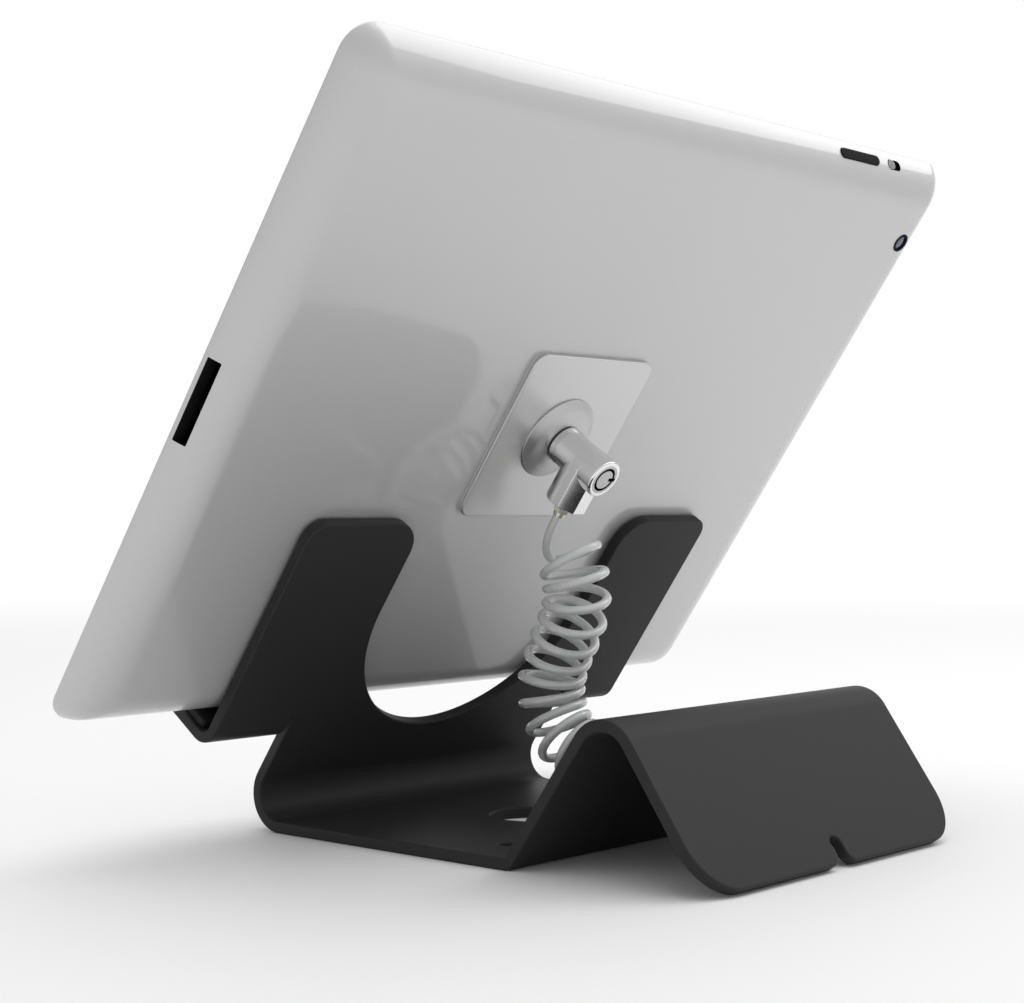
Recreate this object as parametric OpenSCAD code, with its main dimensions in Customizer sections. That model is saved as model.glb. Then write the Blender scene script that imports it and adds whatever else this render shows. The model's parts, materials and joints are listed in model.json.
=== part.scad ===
// Kiosk stand for a tablet. One bent steel sheet carries the tablet on two hooks, and a
// plate bonded to the tablet's back holds a keyed lock. A curly tether runs from the lock
// through the ridge behind the base.
// Millimetres. The front faces -Y, +Z is up, and the origin is the centre of the round
// hole in the base, on the plane that the stand rests on.

/* [Stand sheet] */
// Thickness of the bent steel sheet
sheet_t = 3; // [2:0.5:4]
// Angle of the back plate above the table, in degrees
lean = 55; // [50:1:60]
// Width of the base, the ridge and the neck of the back plate
base_w = 111; // [100:1:120]
// From the round hole's centre forward to the centre of the front bend
base_front = 42; // [38:1:50]
// From the round hole's centre back to the foot of the ridge
base_rear = 39.6; // [37:0.1:46]
// Outer radius of the front bend
front_bend_r = 10; // [8:0.5:12]
// Outer radius of the bend at the foot of the ridge
foot_bend_r = 4; // [3.5:0.5:5]
// Slope of the ridge's two sides, in degrees
ridge_slope = 55; // [50:1:60]
// Height of the ridge
ridge_h = 38.3; // [36:0.1:44]
// Outer radius of the ridge's crest
crest_r = 10; // [8:0.5:12]
// Radius of the rear leg's lower corners
leg_corner_r = 13; // [6:1:18]

/* [Arms] */
// Width across both arms
arms_w = 162; // [152:1:180]
// Height of the arms along the back plate
arm_h = 83.4; // [76:0.1:90]
// Radius of the cut-out between the arms
cutout_r = 42.6; // [38:0.1:46]
// Height of the cut-out's centre along the back plate
cutout_h = 56; // [52:0.5:62]
// Radius of each arm's outer top corner
arm_outer_r = 5.5; // [3:0.5:9]
// Radius of each arm's inner top corner
arm_inner_r = 9.5; // [4:0.5:14]

/* [Hooks] */
// Height of the ledges' top face along the back plate
ledge_h = 15.2; // [12:0.1:18]
// Depth of the slot between the back plate and the lip
hook_depth = 18; // [15:0.5:22]
// Height of the lip above the ledge
lip_h = 10; // [9:0.5:14]
// Radius of the lip's upper corners
lip_corner_r = 4; // [2:0.5:6]
// Inner radius of the hooks' two bends
hook_bend_r = 3; // [2:0.5:3.5]
// Width of the slit that frees each hook from the neck of the plate
slit_w = 0.8; // [0.6:0.1:2]
// Height of the slits along the back plate
slit_h = 21; // [19:0.5:24]

/* [Holes in the sheet] */
// Diameter of the round cable hole in the base
cable_hole_d = 24; // [16:1:30]
// Diameter of the two screw holes in the base
screw_hole_d = 4.5; // [3.5:0.5:6]
// Distance between the screw holes
screw_spacing = 80; // [60:1:90]
// From the round hole's centre back to the screw holes
screw_back = 25.5; // [20:0.5:28]
// Width of the notch in the rear leg
notch_w = 4.4; // [3:0.1:8]
// Height of the notch along the leg
notch_h = 7.2; // [6:0.1:10]
// Radius of the notch's mouth
notch_mouth_r = 3; // [1:0.5:4]
// Diameter of the tether's hole in the ridge
tether_hole_d = 8; // [7:0.5:10]
// From the foot bend up the slope to the tether's hole
tether_up = 20; // [18:0.5:22]

/* [Pads] */
// Thickness of the rubber pads on the ledges
ledge_pad_t = 2.3; // [1.5:0.1:4]
// Thickness of the rubber pads on the arms
arm_pad_t = 0.5; // [0.4:0.1:1.5]
// Width of each arm pad
arm_pad_w = 22; // [14:1:26]
// Height of each arm pad
arm_pad_h = 40; // [30:1:44]
// Height of the arm pads' centre along the back plate
arm_pad_up = 54; // [53:1:58]
// Clearance between a pad and the tablet
seat_gap = 0.15; // [0.1:0.05:0.4]

/* [Tablet] */
// Width of the tablet
tablet_w = 241.2; // [236:0.1:250]
// Height of the tablet
tablet_h = 185.7; // [182:0.1:192]
// Thickness of the tablet
tablet_t = 9.4; // [9:0.1:10.4]
// How far the tablet stands to one side of the stand's middle
tablet_side = 4.55; // [0:0.05:6]
// Radius of the tablet's corners, seen square to the glass
corner_r = 7.5; // [5:0.5:10]
// Width of the curved edge around the back
edge_in = 12.5; // [11:0.1:14]
// Height of the curved edge's thin rim above the front glass
rim_h = 1.2; // [1:0.05:1.4]
// Depth of the shell's rim behind the front glass
rim_z = 0.5; // [0.3:0.05:0.7]
// Thickness of the back shell's wall
wall_t = 1; // [0.8:0.1:1.4]
// Thickness of the front glass
glass_t = 0.8; // [0.7:0.05:0.9]
// Width of the shell's rim around the glass frame
frame_in = 1; // [0.8:0.05:1.2]
// Width of the glass frame under the glass
frame_w = 2.5; // [1.5:0.1:3]
// From the tablet's side edge in to the display panel
panel_side = 20.1; // [18.5:0.1:25]
// From the tablet's long edge in to the display panel
panel_edge = 17.4; // [14.9:0.1:22]
// Thickness of the display panel
panel_t = 1.8; // [1.4:0.1:1.9]

/* [Tablet fittings] */
// Angle of the side keys around the curved edge, in degrees
key_a = 40; // [36:1:46]
// Width of the side keys
key_w = 2.8; // [1.8:0.1:3]
// Gap around a side key
key_gap = 0.15; // [0.1:0.05:0.3]
// Depth of a side key's pocket
key_depth = 1.6; // [1.4:0.1:1.8]
// Length of the volume rocker
volume_len = 19.6; // [14:0.1:24]
// From the tablet's side edge to the volume rocker's middle
volume_in = 48; // [44:0.1:60]
// Length of the mute switch's slot
mute_len = 6.8; // [5.5:0.1:8]
// Length of the mute switch's slider
mute_key = 3.4; // [2.6:0.1:4]
// From the tablet's side edge to the mute switch's middle
mute_in = 29.6; // [24:0.1:31]
// Length of the power button
power_len = 12; // [9:0.1:12]
// From the tablet's long edge to the power button's middle
power_in = 20.5; // [20:0.1:32]
// Diameter of the home button
home_d = 11.6; // [10:0.1:12]
// From the tablet's side edge in to the home button's centre
home_in = 10.4; // [10:0.1:12]
// Width of the dock connector's opening
dock_w = 22; // [18:0.1:26]
// Height of the dock connector's opening
dock_h = 2.9; // [2.4:0.1:3.2]
// Height of the dock opening's middle behind the front glass
dock_z = 3.25; // [3:0.05:3.6]
// Diameter of the headphone jack's bore
jack_d = 3.5; // [3:0.1:3.8]
// From the tablet's long edge to the headphone jack's axis
jack_in = 19; // [17:0.5:32]
// Diameter of the camera's ring
camera_d = 5.6; // [4.5:0.1:8]
// From the tablet's side edge in to the camera
camera_side = 12.6; // [12:0.1:20]
// From the tablet's long edge in to the camera
camera_edge = 22.8; // [19:0.1:32]

/* [Plate and lock] */
// Place of the lock along the tablet's width
lock_x = -1.6; // [-6:0.1:6]
// Place of the lock along the tablet's height
lock_y = -1; // [-6:0.1:6]
// Width of the bonded plate
plate_w = 48; // [40:1:60]
// Height of the bonded plate
plate_h = 50; // [40:1:60]
// Place of the plate's middle beside the lock's axis
plate_x = 0.8; // [-4:0.1:4]
// Place of the plate's middle above the lock's axis
plate_y = -0.4; // [-4:0.1:4]
// Thickness of the bonded plate
plate_t = 1; // [0.8:0.1:2]
// Radius of the plate's corners
plate_r = 4; // [2:0.5:10]
// Thickness of the adhesive pad
adhesive_t = 0.5; // [0.3:0.1:1]
// Diameter of the domed boss
dome_d = 24.3; // [20:0.1:28]
// Height of the domed boss
dome_h = 3.1; // [2.9:0.1:4]
// Height of the domed boss at its side
dome_side_h = 1.1; // [0.6:0.1:1.6]
// Diameter of the lock body
lock_d = 10.8; // [10.2:0.1:13]
// Height of the lock body
lock_h = 16.6; // [15:0.1:18]
// Bevel at the lock body's rim
lock_bevel = 0.7; // [0.3:0.1:1]
// Size across flats of the eight-sided side boss
boss_af = 11; // [10:0.1:12]
// Length of the side boss from the lock's axis
boss_len = 12.6; // [11:0.1:13.5]
// Height of the side boss's axis above the tablet's back
boss_up = 13.6; // [12:0.1:14]
// Diameter of the key core
core_d = 8.4; // [7.6:0.1:8.6]
// Outer diameter of the ring-shaped keyway
keyway_d = 7; // [5.4:0.1:7.2]
// Width of the ring-shaped keyway
keyway_w = 0.65; // [0.5:0.05:1]
// Diameter of the lock's spindle
spindle_d = 2.8; // [2.4:0.1:3]
// Length of the spindle's T-bar
tbar_len = 6.6; // [6:0.1:7]
// Radial clearance of turning pieces
fit = 0.05; // [0.03:0.01:0.08]

/* [Tether] */
// Diameter of the tether's cord
cord_d = 2.4; // [1.6:0.1:2.4]
// Mean radius of the tether's coil
coil_r = 8; // [7:0.1:8]
// Size across flats of the ferrule
ferrule_af = 4; // [3.6:0.1:4.6]
// Length of the ferrule below the side boss
ferrule_out = 4; // [3.4:0.1:7]

/* [Hidden] */
$fn = 64;
e = 0.5;

// The sheet's bends, from the foot of the ridge to the rear leg
foot_y = base_rear - foot_bend_r * tan(ridge_slope / 2);
apex_z = ridge_h + crest_r * (1 / cos(ridge_slope) - 1);
crest_y = base_rear - sheet_t / sin(ridge_slope) + apex_z / tan(ridge_slope);
crest_z = ridge_h - crest_r;
slope_len = (crest_y - foot_y) * cos(ridge_slope) + (crest_z - foot_bend_r) * sin(ridge_slope);
leg_len = (crest_z + (crest_r - sheet_t) * cos(ridge_slope)) / sin(ridge_slope);

// The sheet's side outline in the back plate's frame, from the front bend to the rear leg
bend_n = 36;
foot_n = 16;
function arc(y, z, r, a0, a1, n) = [
  for (i = [0:n])
    let (a = a0 + (a1 - a0) * i / n)
      [y + r * cos(a), z + r * sin(a)]
];
function leg_end(r) = [
  crest_y + r * sin(ridge_slope) + leg_len * cos(ridge_slope),
  crest_z + r * cos(ridge_slope) - leg_len * sin(ridge_slope)
];
strip_under = concat(
  arc(-base_front, front_bend_r, front_bend_r, 90 + lean, 270, bend_n),
  arc(foot_y, foot_bend_r, foot_bend_r, 270, 270 + ridge_slope, foot_n),
  arc(crest_y, crest_z, crest_r - sheet_t, 90 + ridge_slope, 90 - ridge_slope, bend_n),
  [leg_end(crest_r - sheet_t)]
);
strip_over = concat(
  [leg_end(crest_r)],
  arc(crest_y, crest_z, crest_r, 90 - ridge_slope, 90 + ridge_slope, bend_n),
  arc(foot_y, foot_bend_r, foot_bend_r - sheet_t, 270 + ridge_slope, 270, foot_n),
  arc(-base_front, front_bend_r, front_bend_r - sheet_t, 270, 90 + lean, bend_n)
);
strip_outline = [
  for (p = concat(strip_under, strip_over))
    let (y = p[0] + base_front, z = p[1] - front_bend_r)
      [y * cos(lean) + z * sin(lean), y * sin(lean) - z * cos(lean)]
];

// The hooks and the arms
plate_front = -front_bend_r;
hook_x = base_w / 2 + slit_w;
hook_w = arms_w / 2 - hook_x;
hook_foot = ledge_h + hook_bend_r;
arm_mid = (cutout_r + arms_w / 2) / 2;

// The tablet: its place in the back plate's frame, its fittings' places and its curved edge
tablet_at = [
  -tablet_side,
  ledge_h + ledge_pad_t + seat_gap + tablet_h / 2,
  plate_front - arm_pad_t - seat_gap - tablet_t
];
panel_w = tablet_w - 2 * panel_side;
panel_h = tablet_h - 2 * panel_edge;
volume_x = tablet_w / 2 - volume_in;
mute_x = tablet_w / 2 - mute_in;
power_y = tablet_h / 2 - power_in;
jack_y = jack_in - tablet_h / 2;
camera_x = tablet_w / 2 - camera_side;
camera_y = tablet_h / 2 - camera_edge;
edge_h = tablet_t - rim_h;
edge_r = (edge_in * edge_in + edge_h * edge_h) / (2 * edge_h);
edge_z = tablet_t - edge_r + 0.002;
frame_z = glass_t + 0.5;
tray_in = frame_in + frame_w;
tray_z = glass_t + panel_t + 0.2;
well_in = edge_in - 1;
well_z = tablet_t - wall_t;
well_w = tablet_w - 2 * well_in;
well_h = tablet_h - 2 * well_in;
inner_gap = 8;
board_w = well_w - 6 * inner_gap;
board_h = 22;
board_y = well_h / 2 - inner_gap - board_h / 2;
key_travel = 0.4;
key_proud = 0.4;

// The lock's stack above the tablet's back
plate_z = adhesive_t;
dome_z = plate_z + plate_t;
lock_z = dome_z + dome_h;
lock_top = lock_z + lock_h;
core_z = lock_z + 2;
chamber_h = dome_h - 1.2;
slot_w = spindle_d + 0.4;
slot_len = tbar_len + 0.8;
pin_d = 1.3;
pin_x = slot_len / 2 - pin_d / 2 - 0.3;
bush_len = 3;
bush_d = boss_af - 2.8;
shank_d = ferrule_af - 0.6;

// The tether's route. The coil follows the chosen points, one for each turn.
coil_axis = [
  [6.4, 14, 81], [6.2, 16.5, 75.8], [5.8, 18.7, 70.4], [5.3, 19.4, 65], [4.7, 18.4, 59.6],
  [4.2, 16, 54.6], [3.7, 13, 49.8], [3.1, 10.3, 45], [2.6, 8.4, 39.8], [2, 8.2, 34.3],
  [1.5, 9.8, 29], [1, 13, 24.5], [0.5, 17.4, 21.2], [0, 22.6, 19.2], [0, 28, 18.2],
  [0, 33.4, 18], [0, 38.8, 18]
];
coil_from = 0.22;
coil_to = 13.25;
coil_n = 104;
lead_pull = [7, 8];
tail_pull = [12, 12];
lead_n = 10;
tail_n = 10;

function unit(v) = v / norm(v);
// Point on a smooth curve through the chosen points, p counted in points
function through(pts, p) =
  let (i = min(floor(p), len(pts) - 4), t = p - i)
  let (a = pts[i], b = pts[i + 1], c = pts[i + 2], d = pts[i + 3])
  (2 * b + (c - a) * t + (2 * a - 5 * b + 4 * c - d) * t * t
    + (3 * b - a - 3 * c + d) * t * t * t) / 2;
function axis_dir(p) = unit(through(coil_axis, p + 0.01) - through(coil_axis, p - 0.01));
function coil_side(p) =
  let (t = axis_dir(p))
  let (across = unit([-1, 0, 0] + t[0] * t))
  cos(360 * p) * cross(across, t) + sin(360 * p) * across;
function coil_pt(p) = through(coil_axis, p) + coil_r * coil_side(p);
function coil_dir(p) = unit(coil_pt(p + 0.002) - coil_pt(p - 0.002));
function square_to(n, t) = unit(n - (n * t) * t);
// Point on a cubic curve from a to d, with handles b and c
function bent(a, b, c, d, t) =
  let (s = 1 - t)
  s * s * s * a + 3 * s * s * t * b + 3 * s * t * t * c + t * t * t * d;
// Rows in the back plate's frame and in the slope's frame, given in the stand's frame
function from_plate(p) = [
  -p[0],
  p[1] * cos(lean) + p[2] * sin(lean) - base_front,
  p[1] * sin(lean) - p[2] * cos(lean) + front_bend_r
];
function from_slope(y, z) = [
  0,
  foot_y + y * cos(ridge_slope) - z * sin(ridge_slope),
  foot_bend_r + y * sin(ridge_slope) + z * cos(ridge_slope)
];

coil_ps = [for (i = [0:coil_n]) coil_from + (coil_to - coil_from) * i / coil_n];
coil_mid = [for (p = coil_ps) coil_pt(p)];
coil_t0 = coil_dir(coil_from);
coil_t1 = coil_dir(coil_to);
coil_in = coil_mid[0] - cord_d * coil_t0;
coil_out = coil_mid[coil_n] + cord_d * coil_t1;
coil_gap = min([
  for (i = [0:coil_n]) for (j = [i + 5:1:coil_n]) norm(coil_mid[i] - coil_mid[j])
]) - cord_d;
echo(coil_gap = coil_gap);

lead_top = from_plate(
  tablet_at + [lock_x, lock_y - boss_len - ferrule_out, tablet_t + boss_up]
);
lead_t0 = [0, -cos(lean), -sin(lean)];
lead_a = lead_top + cord_d * lead_t0;
lead_d = coil_in - cord_d * coil_t0;
lead_mid = concat([lead_top], [
  for (i = [0:lead_n])
    bent(lead_a, lead_a + lead_pull[0] * lead_t0, lead_d - lead_pull[1] * coil_t0, lead_d,
      i / lead_n)
], [coil_in]);

grommet_flange = 1.2;
slope_face = sheet_t - foot_bend_r;
anchor_z = -foot_bend_r - grommet_flange - 0.5;
tail_t1 = [0, sin(ridge_slope), -cos(ridge_slope)];
tail_end = from_slope(tether_up, anchor_z);
tail_a = coil_out + cord_d * coil_t1;
tail_d = from_slope(tether_up, slope_face + grommet_flange + cord_d);
tail_mid = concat([coil_out], [
  for (i = [0:tail_n])
    bent(tail_a, tail_a + tail_pull[0] * coil_t1, tail_d - tail_pull[1] * tail_t1, tail_d,
      i / tail_n)
], [tail_end]);

// Directions along a row of points, square to its two ends
function along(pts, t0, t1) = [
  for (i = [0:len(pts) - 1])
    i < 2 ? t0 : i > len(pts) - 3 ? t1 : unit(pts[i + 1] - pts[i - 1])
];
function ring(mid, t, n, r, sides) = [
  for (k = [0:sides - 1])
    mid + r * (cos(360 * k / sides) * n + sin(360 * k / sides) * cross(t, n))
];

// Round cord through the points, with one ring of corners at each
module tube(mid, dirs, sides_of, d, sides) {
  last = len(mid) - 1;
  corners = [
    for (i = [0:last]) each ring(mid[i], dirs[i], sides_of[i], d / 2, sides)
  ];
  walls = [
    for (i = [0:last - 1])
      for (k = [0:sides - 1])
        let (a = i * sides + k, b = i * sides + (k + 1) % sides)
          each [[a, a + sides, b], [b, a + sides, b + sides]]
  ];
  front = [for (k = [1:sides - 2]) [0, k, k + 1]];
  back = [for (k = [1:sides - 2]) [last * sides, last * sides + k + 1, last * sides + k]];
  polyhedron(points = corners, faces = concat(front, walls, back), convexity = 10);
}

// Frames
module in_plate() {
  translate([0, -base_front, front_bend_r])
    rotate([lean - 180, 0, 0])
      rotate([0, 0, 180])
        children();
}

module in_slope() {
  translate([0, foot_y, foot_bend_r])
    rotate([ridge_slope, 0, 0])
      children();
}

module in_crest() {
  in_slope()
    translate([0, slope_len, sheet_t - foot_bend_r - crest_r])
      children();
}

module in_leg() {
  in_crest()
    rotate([-2 * ridge_slope, 0, 0])
      children();
}

module in_tablet() {
  in_plate()
    translate(tablet_at)
      children();
}

module in_lock() {
  in_tablet()
    translate([lock_x, lock_y, tablet_t])
      children();
}

module in_boss() {
  in_lock()
    translate([0, 0, boss_up])
      rotate([90, 0, 0])
        children();
}

// The curved edge's own frames: z runs out along the key's normal from the arc's centre
module at_top_edge(x) {
  translate([x, tablet_h / 2 - edge_in, edge_z])
    rotate([key_a - 90, 0, 0])
      children();
}

module at_side_edge(y) {
  translate([tablet_w / 2 - edge_in, y, edge_z])
    rotate([0, 90 - key_a, 0])
      rotate([0, 0, 90])
        children();
}

// Shapes
// Part of a bend, angles counted from +Y to +Z, w wide across X
module bend(r, a0, a1, w) {
  rotate([90, 0, 90])
    translate([0, 0, -w / 2])
      rotate([0, 0, a0])
        rotate_extrude(angle = a1 - a0)
          translate([r - sheet_t, 0])
            square([sheet_t, w]);
}

// What a rounded corner takes off a square one, in the quarter +X +Y
module corner_cut(r) {
  translate([-r, -r])
    difference() {
      square(r + e);
      circle(r);
    }
}

module round_rect(w, h, r) {
  square([w - 2 * r, h], center = true);
  square([w, h - 2 * r], center = true);
  for (x = [-1, 1], y = [-1, 1])
    translate([x * (w / 2 - r), y * (h / 2 - r)])
      circle(r);
}

module stadium(l, w) {
  square([l - w, w], center = true);
  for (x = [-1, 1])
    translate([x * (l - w) / 2, 0])
      circle(w / 2);
}

module tube_of(d_out, d_in, h) {
  difference() {
    cylinder(d = d_out, h = h);
    translate([0, 0, -e])
      cylinder(d = d_in, h = h + 2 * e);
  }
}

// Stand
module plate_outline() {
  difference() {
    union() {
      translate([-base_w / 2, 0])
        square([base_w, arm_h]);
      translate([-arms_w / 2, hook_foot])
        square([arms_w, arm_h - hook_foot]);
    }
    translate([0, cutout_h])
      circle(cutout_r, $fn = 96);
    translate([-cutout_r, cutout_h])
      square([2 * cutout_r, arm_h]);
    for (m = [0, 1])
      mirror([m, 0]) {
        translate([base_w / 2, -e])
          square([slit_w, slit_h + e]);
        translate([arms_w / 2, arm_h])
          corner_cut(arm_outer_r);
        translate([cutout_r, arm_h])
          mirror([1, 0])
            corner_cut(arm_inner_r);
      }
  }
}

// What the rear leg's round corners and its notch take off the sheet, from its lower edge
module leg_cut() {
  nip = 0.01;
  translate([0, notch_w / 2 - notch_h])
    circle(notch_w / 2);
  translate([-notch_w / 2, notch_w / 2 - notch_h])
    square([notch_w, notch_h]);
  for (m = [0, 1])
    mirror([m, 0]) {
      translate([base_w / 2 + nip, nip])
        corner_cut(leg_corner_r);
      translate([notch_w / 2, nip])
        mirror([1, 0])
          corner_cut(notch_mouth_r);
    }
}

module hook() {
  hook_mid = hook_x + hook_w / 2;
  lip_z = plate_front - hook_depth;
  translate([hook_mid, hook_foot, plate_front - hook_bend_r])
    bend(hook_bend_r + sheet_t, 90, 180, hook_w);
  translate([hook_x, ledge_h - sheet_t, lip_z + hook_bend_r])
    cube([hook_w, sheet_t, hook_depth - 2 * hook_bend_r]);
  translate([hook_mid, hook_foot, lip_z + hook_bend_r])
    bend(hook_bend_r + sheet_t, 180, 270, hook_w);
  translate([hook_mid, hook_foot, lip_z - sheet_t])
    linear_extrude(sheet_t)
      difference() {
        translate([-hook_w / 2, 0])
          square([hook_w, lip_h - hook_bend_r]);
        for (m = [0, 1])
          mirror([m, 0])
            translate([hook_w / 2, lip_h - hook_bend_r])
              corner_cut(lip_corner_r);
      }
}

module base_holes() {
  translate([0, 0, -e])
    cylinder(d = cable_hole_d, h = sheet_t + 2 * e);
  for (m = [-1, 1])
    translate([m * screw_spacing / 2, screw_back, -e])
      cylinder(d = screw_hole_d, h = sheet_t + 2 * e);
  in_slope()
    translate([0, tether_up, -foot_bend_r - e])
      cylinder(d = tether_hole_d, h = sheet_t + 2 * e);
}

module stand_sheet() {
  color([0.06, 0.06, 0.065])
    difference() {
      in_plate() {
        translate([0, 0, plate_front])
          linear_extrude(sheet_t)
            plate_outline();
        for (m = [0, 1])
          mirror([m, 0, 0])
            hook();
        translate([-base_w / 2, 0, 0])
          rotate([90, 0, 90])
            linear_extrude(base_w)
              polygon(strip_outline);
      }
      base_holes();
      in_leg()
        translate([0, leg_len, crest_r - sheet_t - e])
          linear_extrude(sheet_t + 2 * e)
            leg_cut();
    }
}

module ledge_pads() {
  color([0.03, 0.03, 0.03])
    in_plate()
      for (m = [0, 1])
        mirror([m, 0, 0])
          translate([hook_x + 1, ledge_h, plate_front - hook_depth + hook_bend_r])
            cube([hook_w - 2, ledge_pad_t, hook_depth - 2 * hook_bend_r]);
}

module arm_pads() {
  color([0.04, 0.04, 0.04])
    in_plate()
      for (m = [-1, 1])
        translate([m * arm_mid, arm_pad_up, plate_front - arm_pad_t])
          linear_extrude(arm_pad_t)
            round_rect(arm_pad_w, arm_pad_h, 4);
}

// Tether
module cord_grommet() {
  color([0.03, 0.03, 0.03])
    in_slope()
      translate([0, tether_up, -foot_bend_r - grommet_flange])
        difference() {
          union() {
            cylinder(d = tether_hole_d + 3, h = grommet_flange);
            cylinder(d = tether_hole_d - 0.04, h = sheet_t + 2 * grommet_flange);
            translate([0, 0, grommet_flange + sheet_t])
              cylinder(d = tether_hole_d + 4, h = grommet_flange);
          }
          translate([0, 0, -e])
            cylinder(d = cord_d + 2 * fit, h = sheet_t + 2 * grommet_flange + 2 * e);
        }
}

module tether_anchor() {
  color([0.7, 0.7, 0.68])
    in_slope()
      translate([0, tether_up, anchor_z])
        mirror([0, 0, 1]) {
          cylinder(d = 9, h = 1);
          translate([0, 0, 1])
            cylinder(d = 5, h = 6.4);
          translate([0, 0, 7.4])
            cylinder(d1 = 5, d2 = 4.2, h = 0.6);
        }
}

module tether_tail() {
  dirs = along(tail_mid, coil_t1, tail_t1);
  color([0.72, 0.73, 0.74])
    tube(tail_mid, dirs, [for (t = dirs) unit(cross(t, [1, 0, 0]))], cord_d, 8);
}

module tether_coil() {
  mids = concat([coil_in], coil_mid, [coil_out]);
  inner = [for (p = coil_ps) coil_dir(p)];
  dirs = concat([coil_t0], inner, [coil_t1]);
  out = [for (i = [0:coil_n]) square_to(coil_side(coil_ps[i]), inner[i])];
  color([0.72, 0.73, 0.74])
    tube(mids, dirs, concat([out[0]], out, [out[coil_n]]), cord_d, 6);
}

module tether_lead() {
  dirs = along(lead_mid, lead_t0, coil_t0);
  color([0.72, 0.73, 0.74])
    tube(lead_mid, dirs, [for (t = dirs) unit(cross(t, [1, 0, 0]))], cord_d, 8);
}

module cord_ferrule() {
  collar_h = 1.4;
  color([0.78, 0.72, 0.5])
    in_boss() {
      translate([0, 0, boss_len - bush_len - 0.2 - collar_h])
        cylinder(d = bush_d - 1.8, h = collar_h);
      translate([0, 0, boss_len - bush_len - 0.2])
        cylinder(d = shank_d, h = bush_len + 0.4);
      translate([0, 0, boss_len + 0.2])
        rotate([0, 0, 30])
          cylinder(r = ferrule_af / 2 / cos(30), h = ferrule_out - 1.7, $fn = 6);
      translate([0, 0, boss_len + ferrule_out - 2])
        cylinder(d1 = ferrule_af - 0.4, d2 = cord_d + 0.6, h = 2);
    }
}

module swivel_bush() {
  color([0.65, 0.65, 0.66])
    in_boss()
      translate([0, 0, boss_len - bush_len])
        tube_of(bush_d - 0.04, shank_d + 2 * fit, bush_len);
}

// Lock
module lock_body() {
  color([0.75, 0.75, 0.77])
    difference() {
      union() {
        in_lock()
          translate([0, 0, lock_z]) {
            cylinder(d = lock_d, h = lock_h - lock_bevel);
            translate([0, 0, lock_h - lock_bevel])
              cylinder(d1 = lock_d, d2 = lock_d - 2 * lock_bevel, h = lock_bevel);
          }
        in_boss()
          rotate([0, 0, 22.5])
            cylinder(r = boss_af / 2 / cos(22.5), h = boss_len, $fn = 8);
      }
      in_lock() {
        translate([0, 0, core_z])
          cylinder(d = core_d + 2 * fit, h = lock_h);
        translate([0, 0, lock_z - e])
          cylinder(d = spindle_d + 2 * fit, h = lock_h / 2);
        for (m = [-1, 1])
          translate([m * pin_x, 0, lock_z - e])
            cylinder(d = pin_d + 0.04, h = 1.6 + e);
      }
      in_boss()
        translate([0, 0, boss_len - 6])
          cylinder(d = bush_d, h = 6 + e);
    }
}

module lock_pins() {
  color([0.7, 0.7, 0.7])
    in_lock()
      for (m = [-1, 1])
        translate([m * pin_x, 0, lock_z - 1])
          cylinder(d = pin_d, h = 2.6);
}

module key_core() {
  notch = 1;
  color([0.55, 0.55, 0.57])
    in_lock()
      difference() {
        translate([0, 0, core_z + fit])
          cylinder(d = core_d, h = lock_top - core_z);
        translate([0, 0, lock_top - 5])
          tube_of(keyway_d, keyway_d - 2 * keyway_w, 6);
        translate([keyway_d / 2 - keyway_w - 0.6, -notch / 2, lock_top - 5])
          cube([keyway_w + 1, notch, 6]);
      }
}

module lock_spindle() {
  tbar_h = chamber_h - 0.7;
  color([0.6, 0.6, 0.62])
    in_lock() {
      translate([0, 0, dome_z + 0.4 + tbar_h])
        cylinder(d = spindle_d, h = core_z + fit - dome_z - 0.4 - tbar_h);
      translate([0, 0, dome_z + 0.4])
        rotate([0, 0, 90])
          linear_extrude(tbar_h)
            stadium(tbar_len, spindle_d - 0.2);
    }
}

module lock_dome() {
  rise = dome_h - dome_side_h;
  ball_r = (dome_d * dome_d / 4 + rise * rise) / (2 * rise);
  color([0.7, 0.71, 0.73])
    in_lock()
      translate([0, 0, dome_z])
        difference() {
          intersection() {
            cylinder(d = dome_d, h = dome_h);
            translate([0, 0, dome_h - ball_r])
              sphere(ball_r, $fn = 128);
          }
          translate([0, 0, -e])
            cylinder(d = tbar_len + 1.4, h = chamber_h + e);
          linear_extrude(dome_h + e)
            stadium(slot_len, slot_w);
        }
}

module security_plate() {
  color([0.72, 0.73, 0.75])
    in_lock()
      translate([plate_x, plate_y, plate_z])
        linear_extrude(plate_t)
          round_rect(plate_w, plate_h, plate_r);
}

module plate_adhesive() {
  color([0.1, 0.1, 0.1])
    in_lock()
      translate([plate_x, plate_y, 0])
        linear_extrude(adhesive_t)
          round_rect(plate_w - 1.6, plate_h - 1.6, plate_r - 0.8);
}

// Tablet
// Cross-section behind the glass, w wide, cut off at two heights: a flat between two curved edges
module section(w, low, high) {
  flat = w / 2 - edge_in;
  intersection() {
    translate([-w / 2 - 1, low])
      square([w + 2, high - low]);
    union() {
      translate([-flat, low])
        square([2 * flat, high - low + 1]);
      for (m = [-1, 1])
        translate([m * flat, edge_z])
          circle(edge_r, $fn = 128);
    }
  }
}

// The tablet's outer form behind the glass: the two sections crossed, with round corners
module tablet_blank() {
  intersection() {
    translate([-tablet_w / 2 - e, 0, 0])
      rotate([90, 0, 90])
        linear_extrude(tablet_w + 2 * e)
          section(tablet_h, rim_z, tablet_t);
    translate([0, tablet_h / 2 + e, 0])
      rotate([90, 0, 0])
        linear_extrude(tablet_h + 2 * e)
          section(tablet_w, rim_z - 0.3, tablet_t + 1);
    inset_block(0, 0, tablet_t + e);
  }
}

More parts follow.
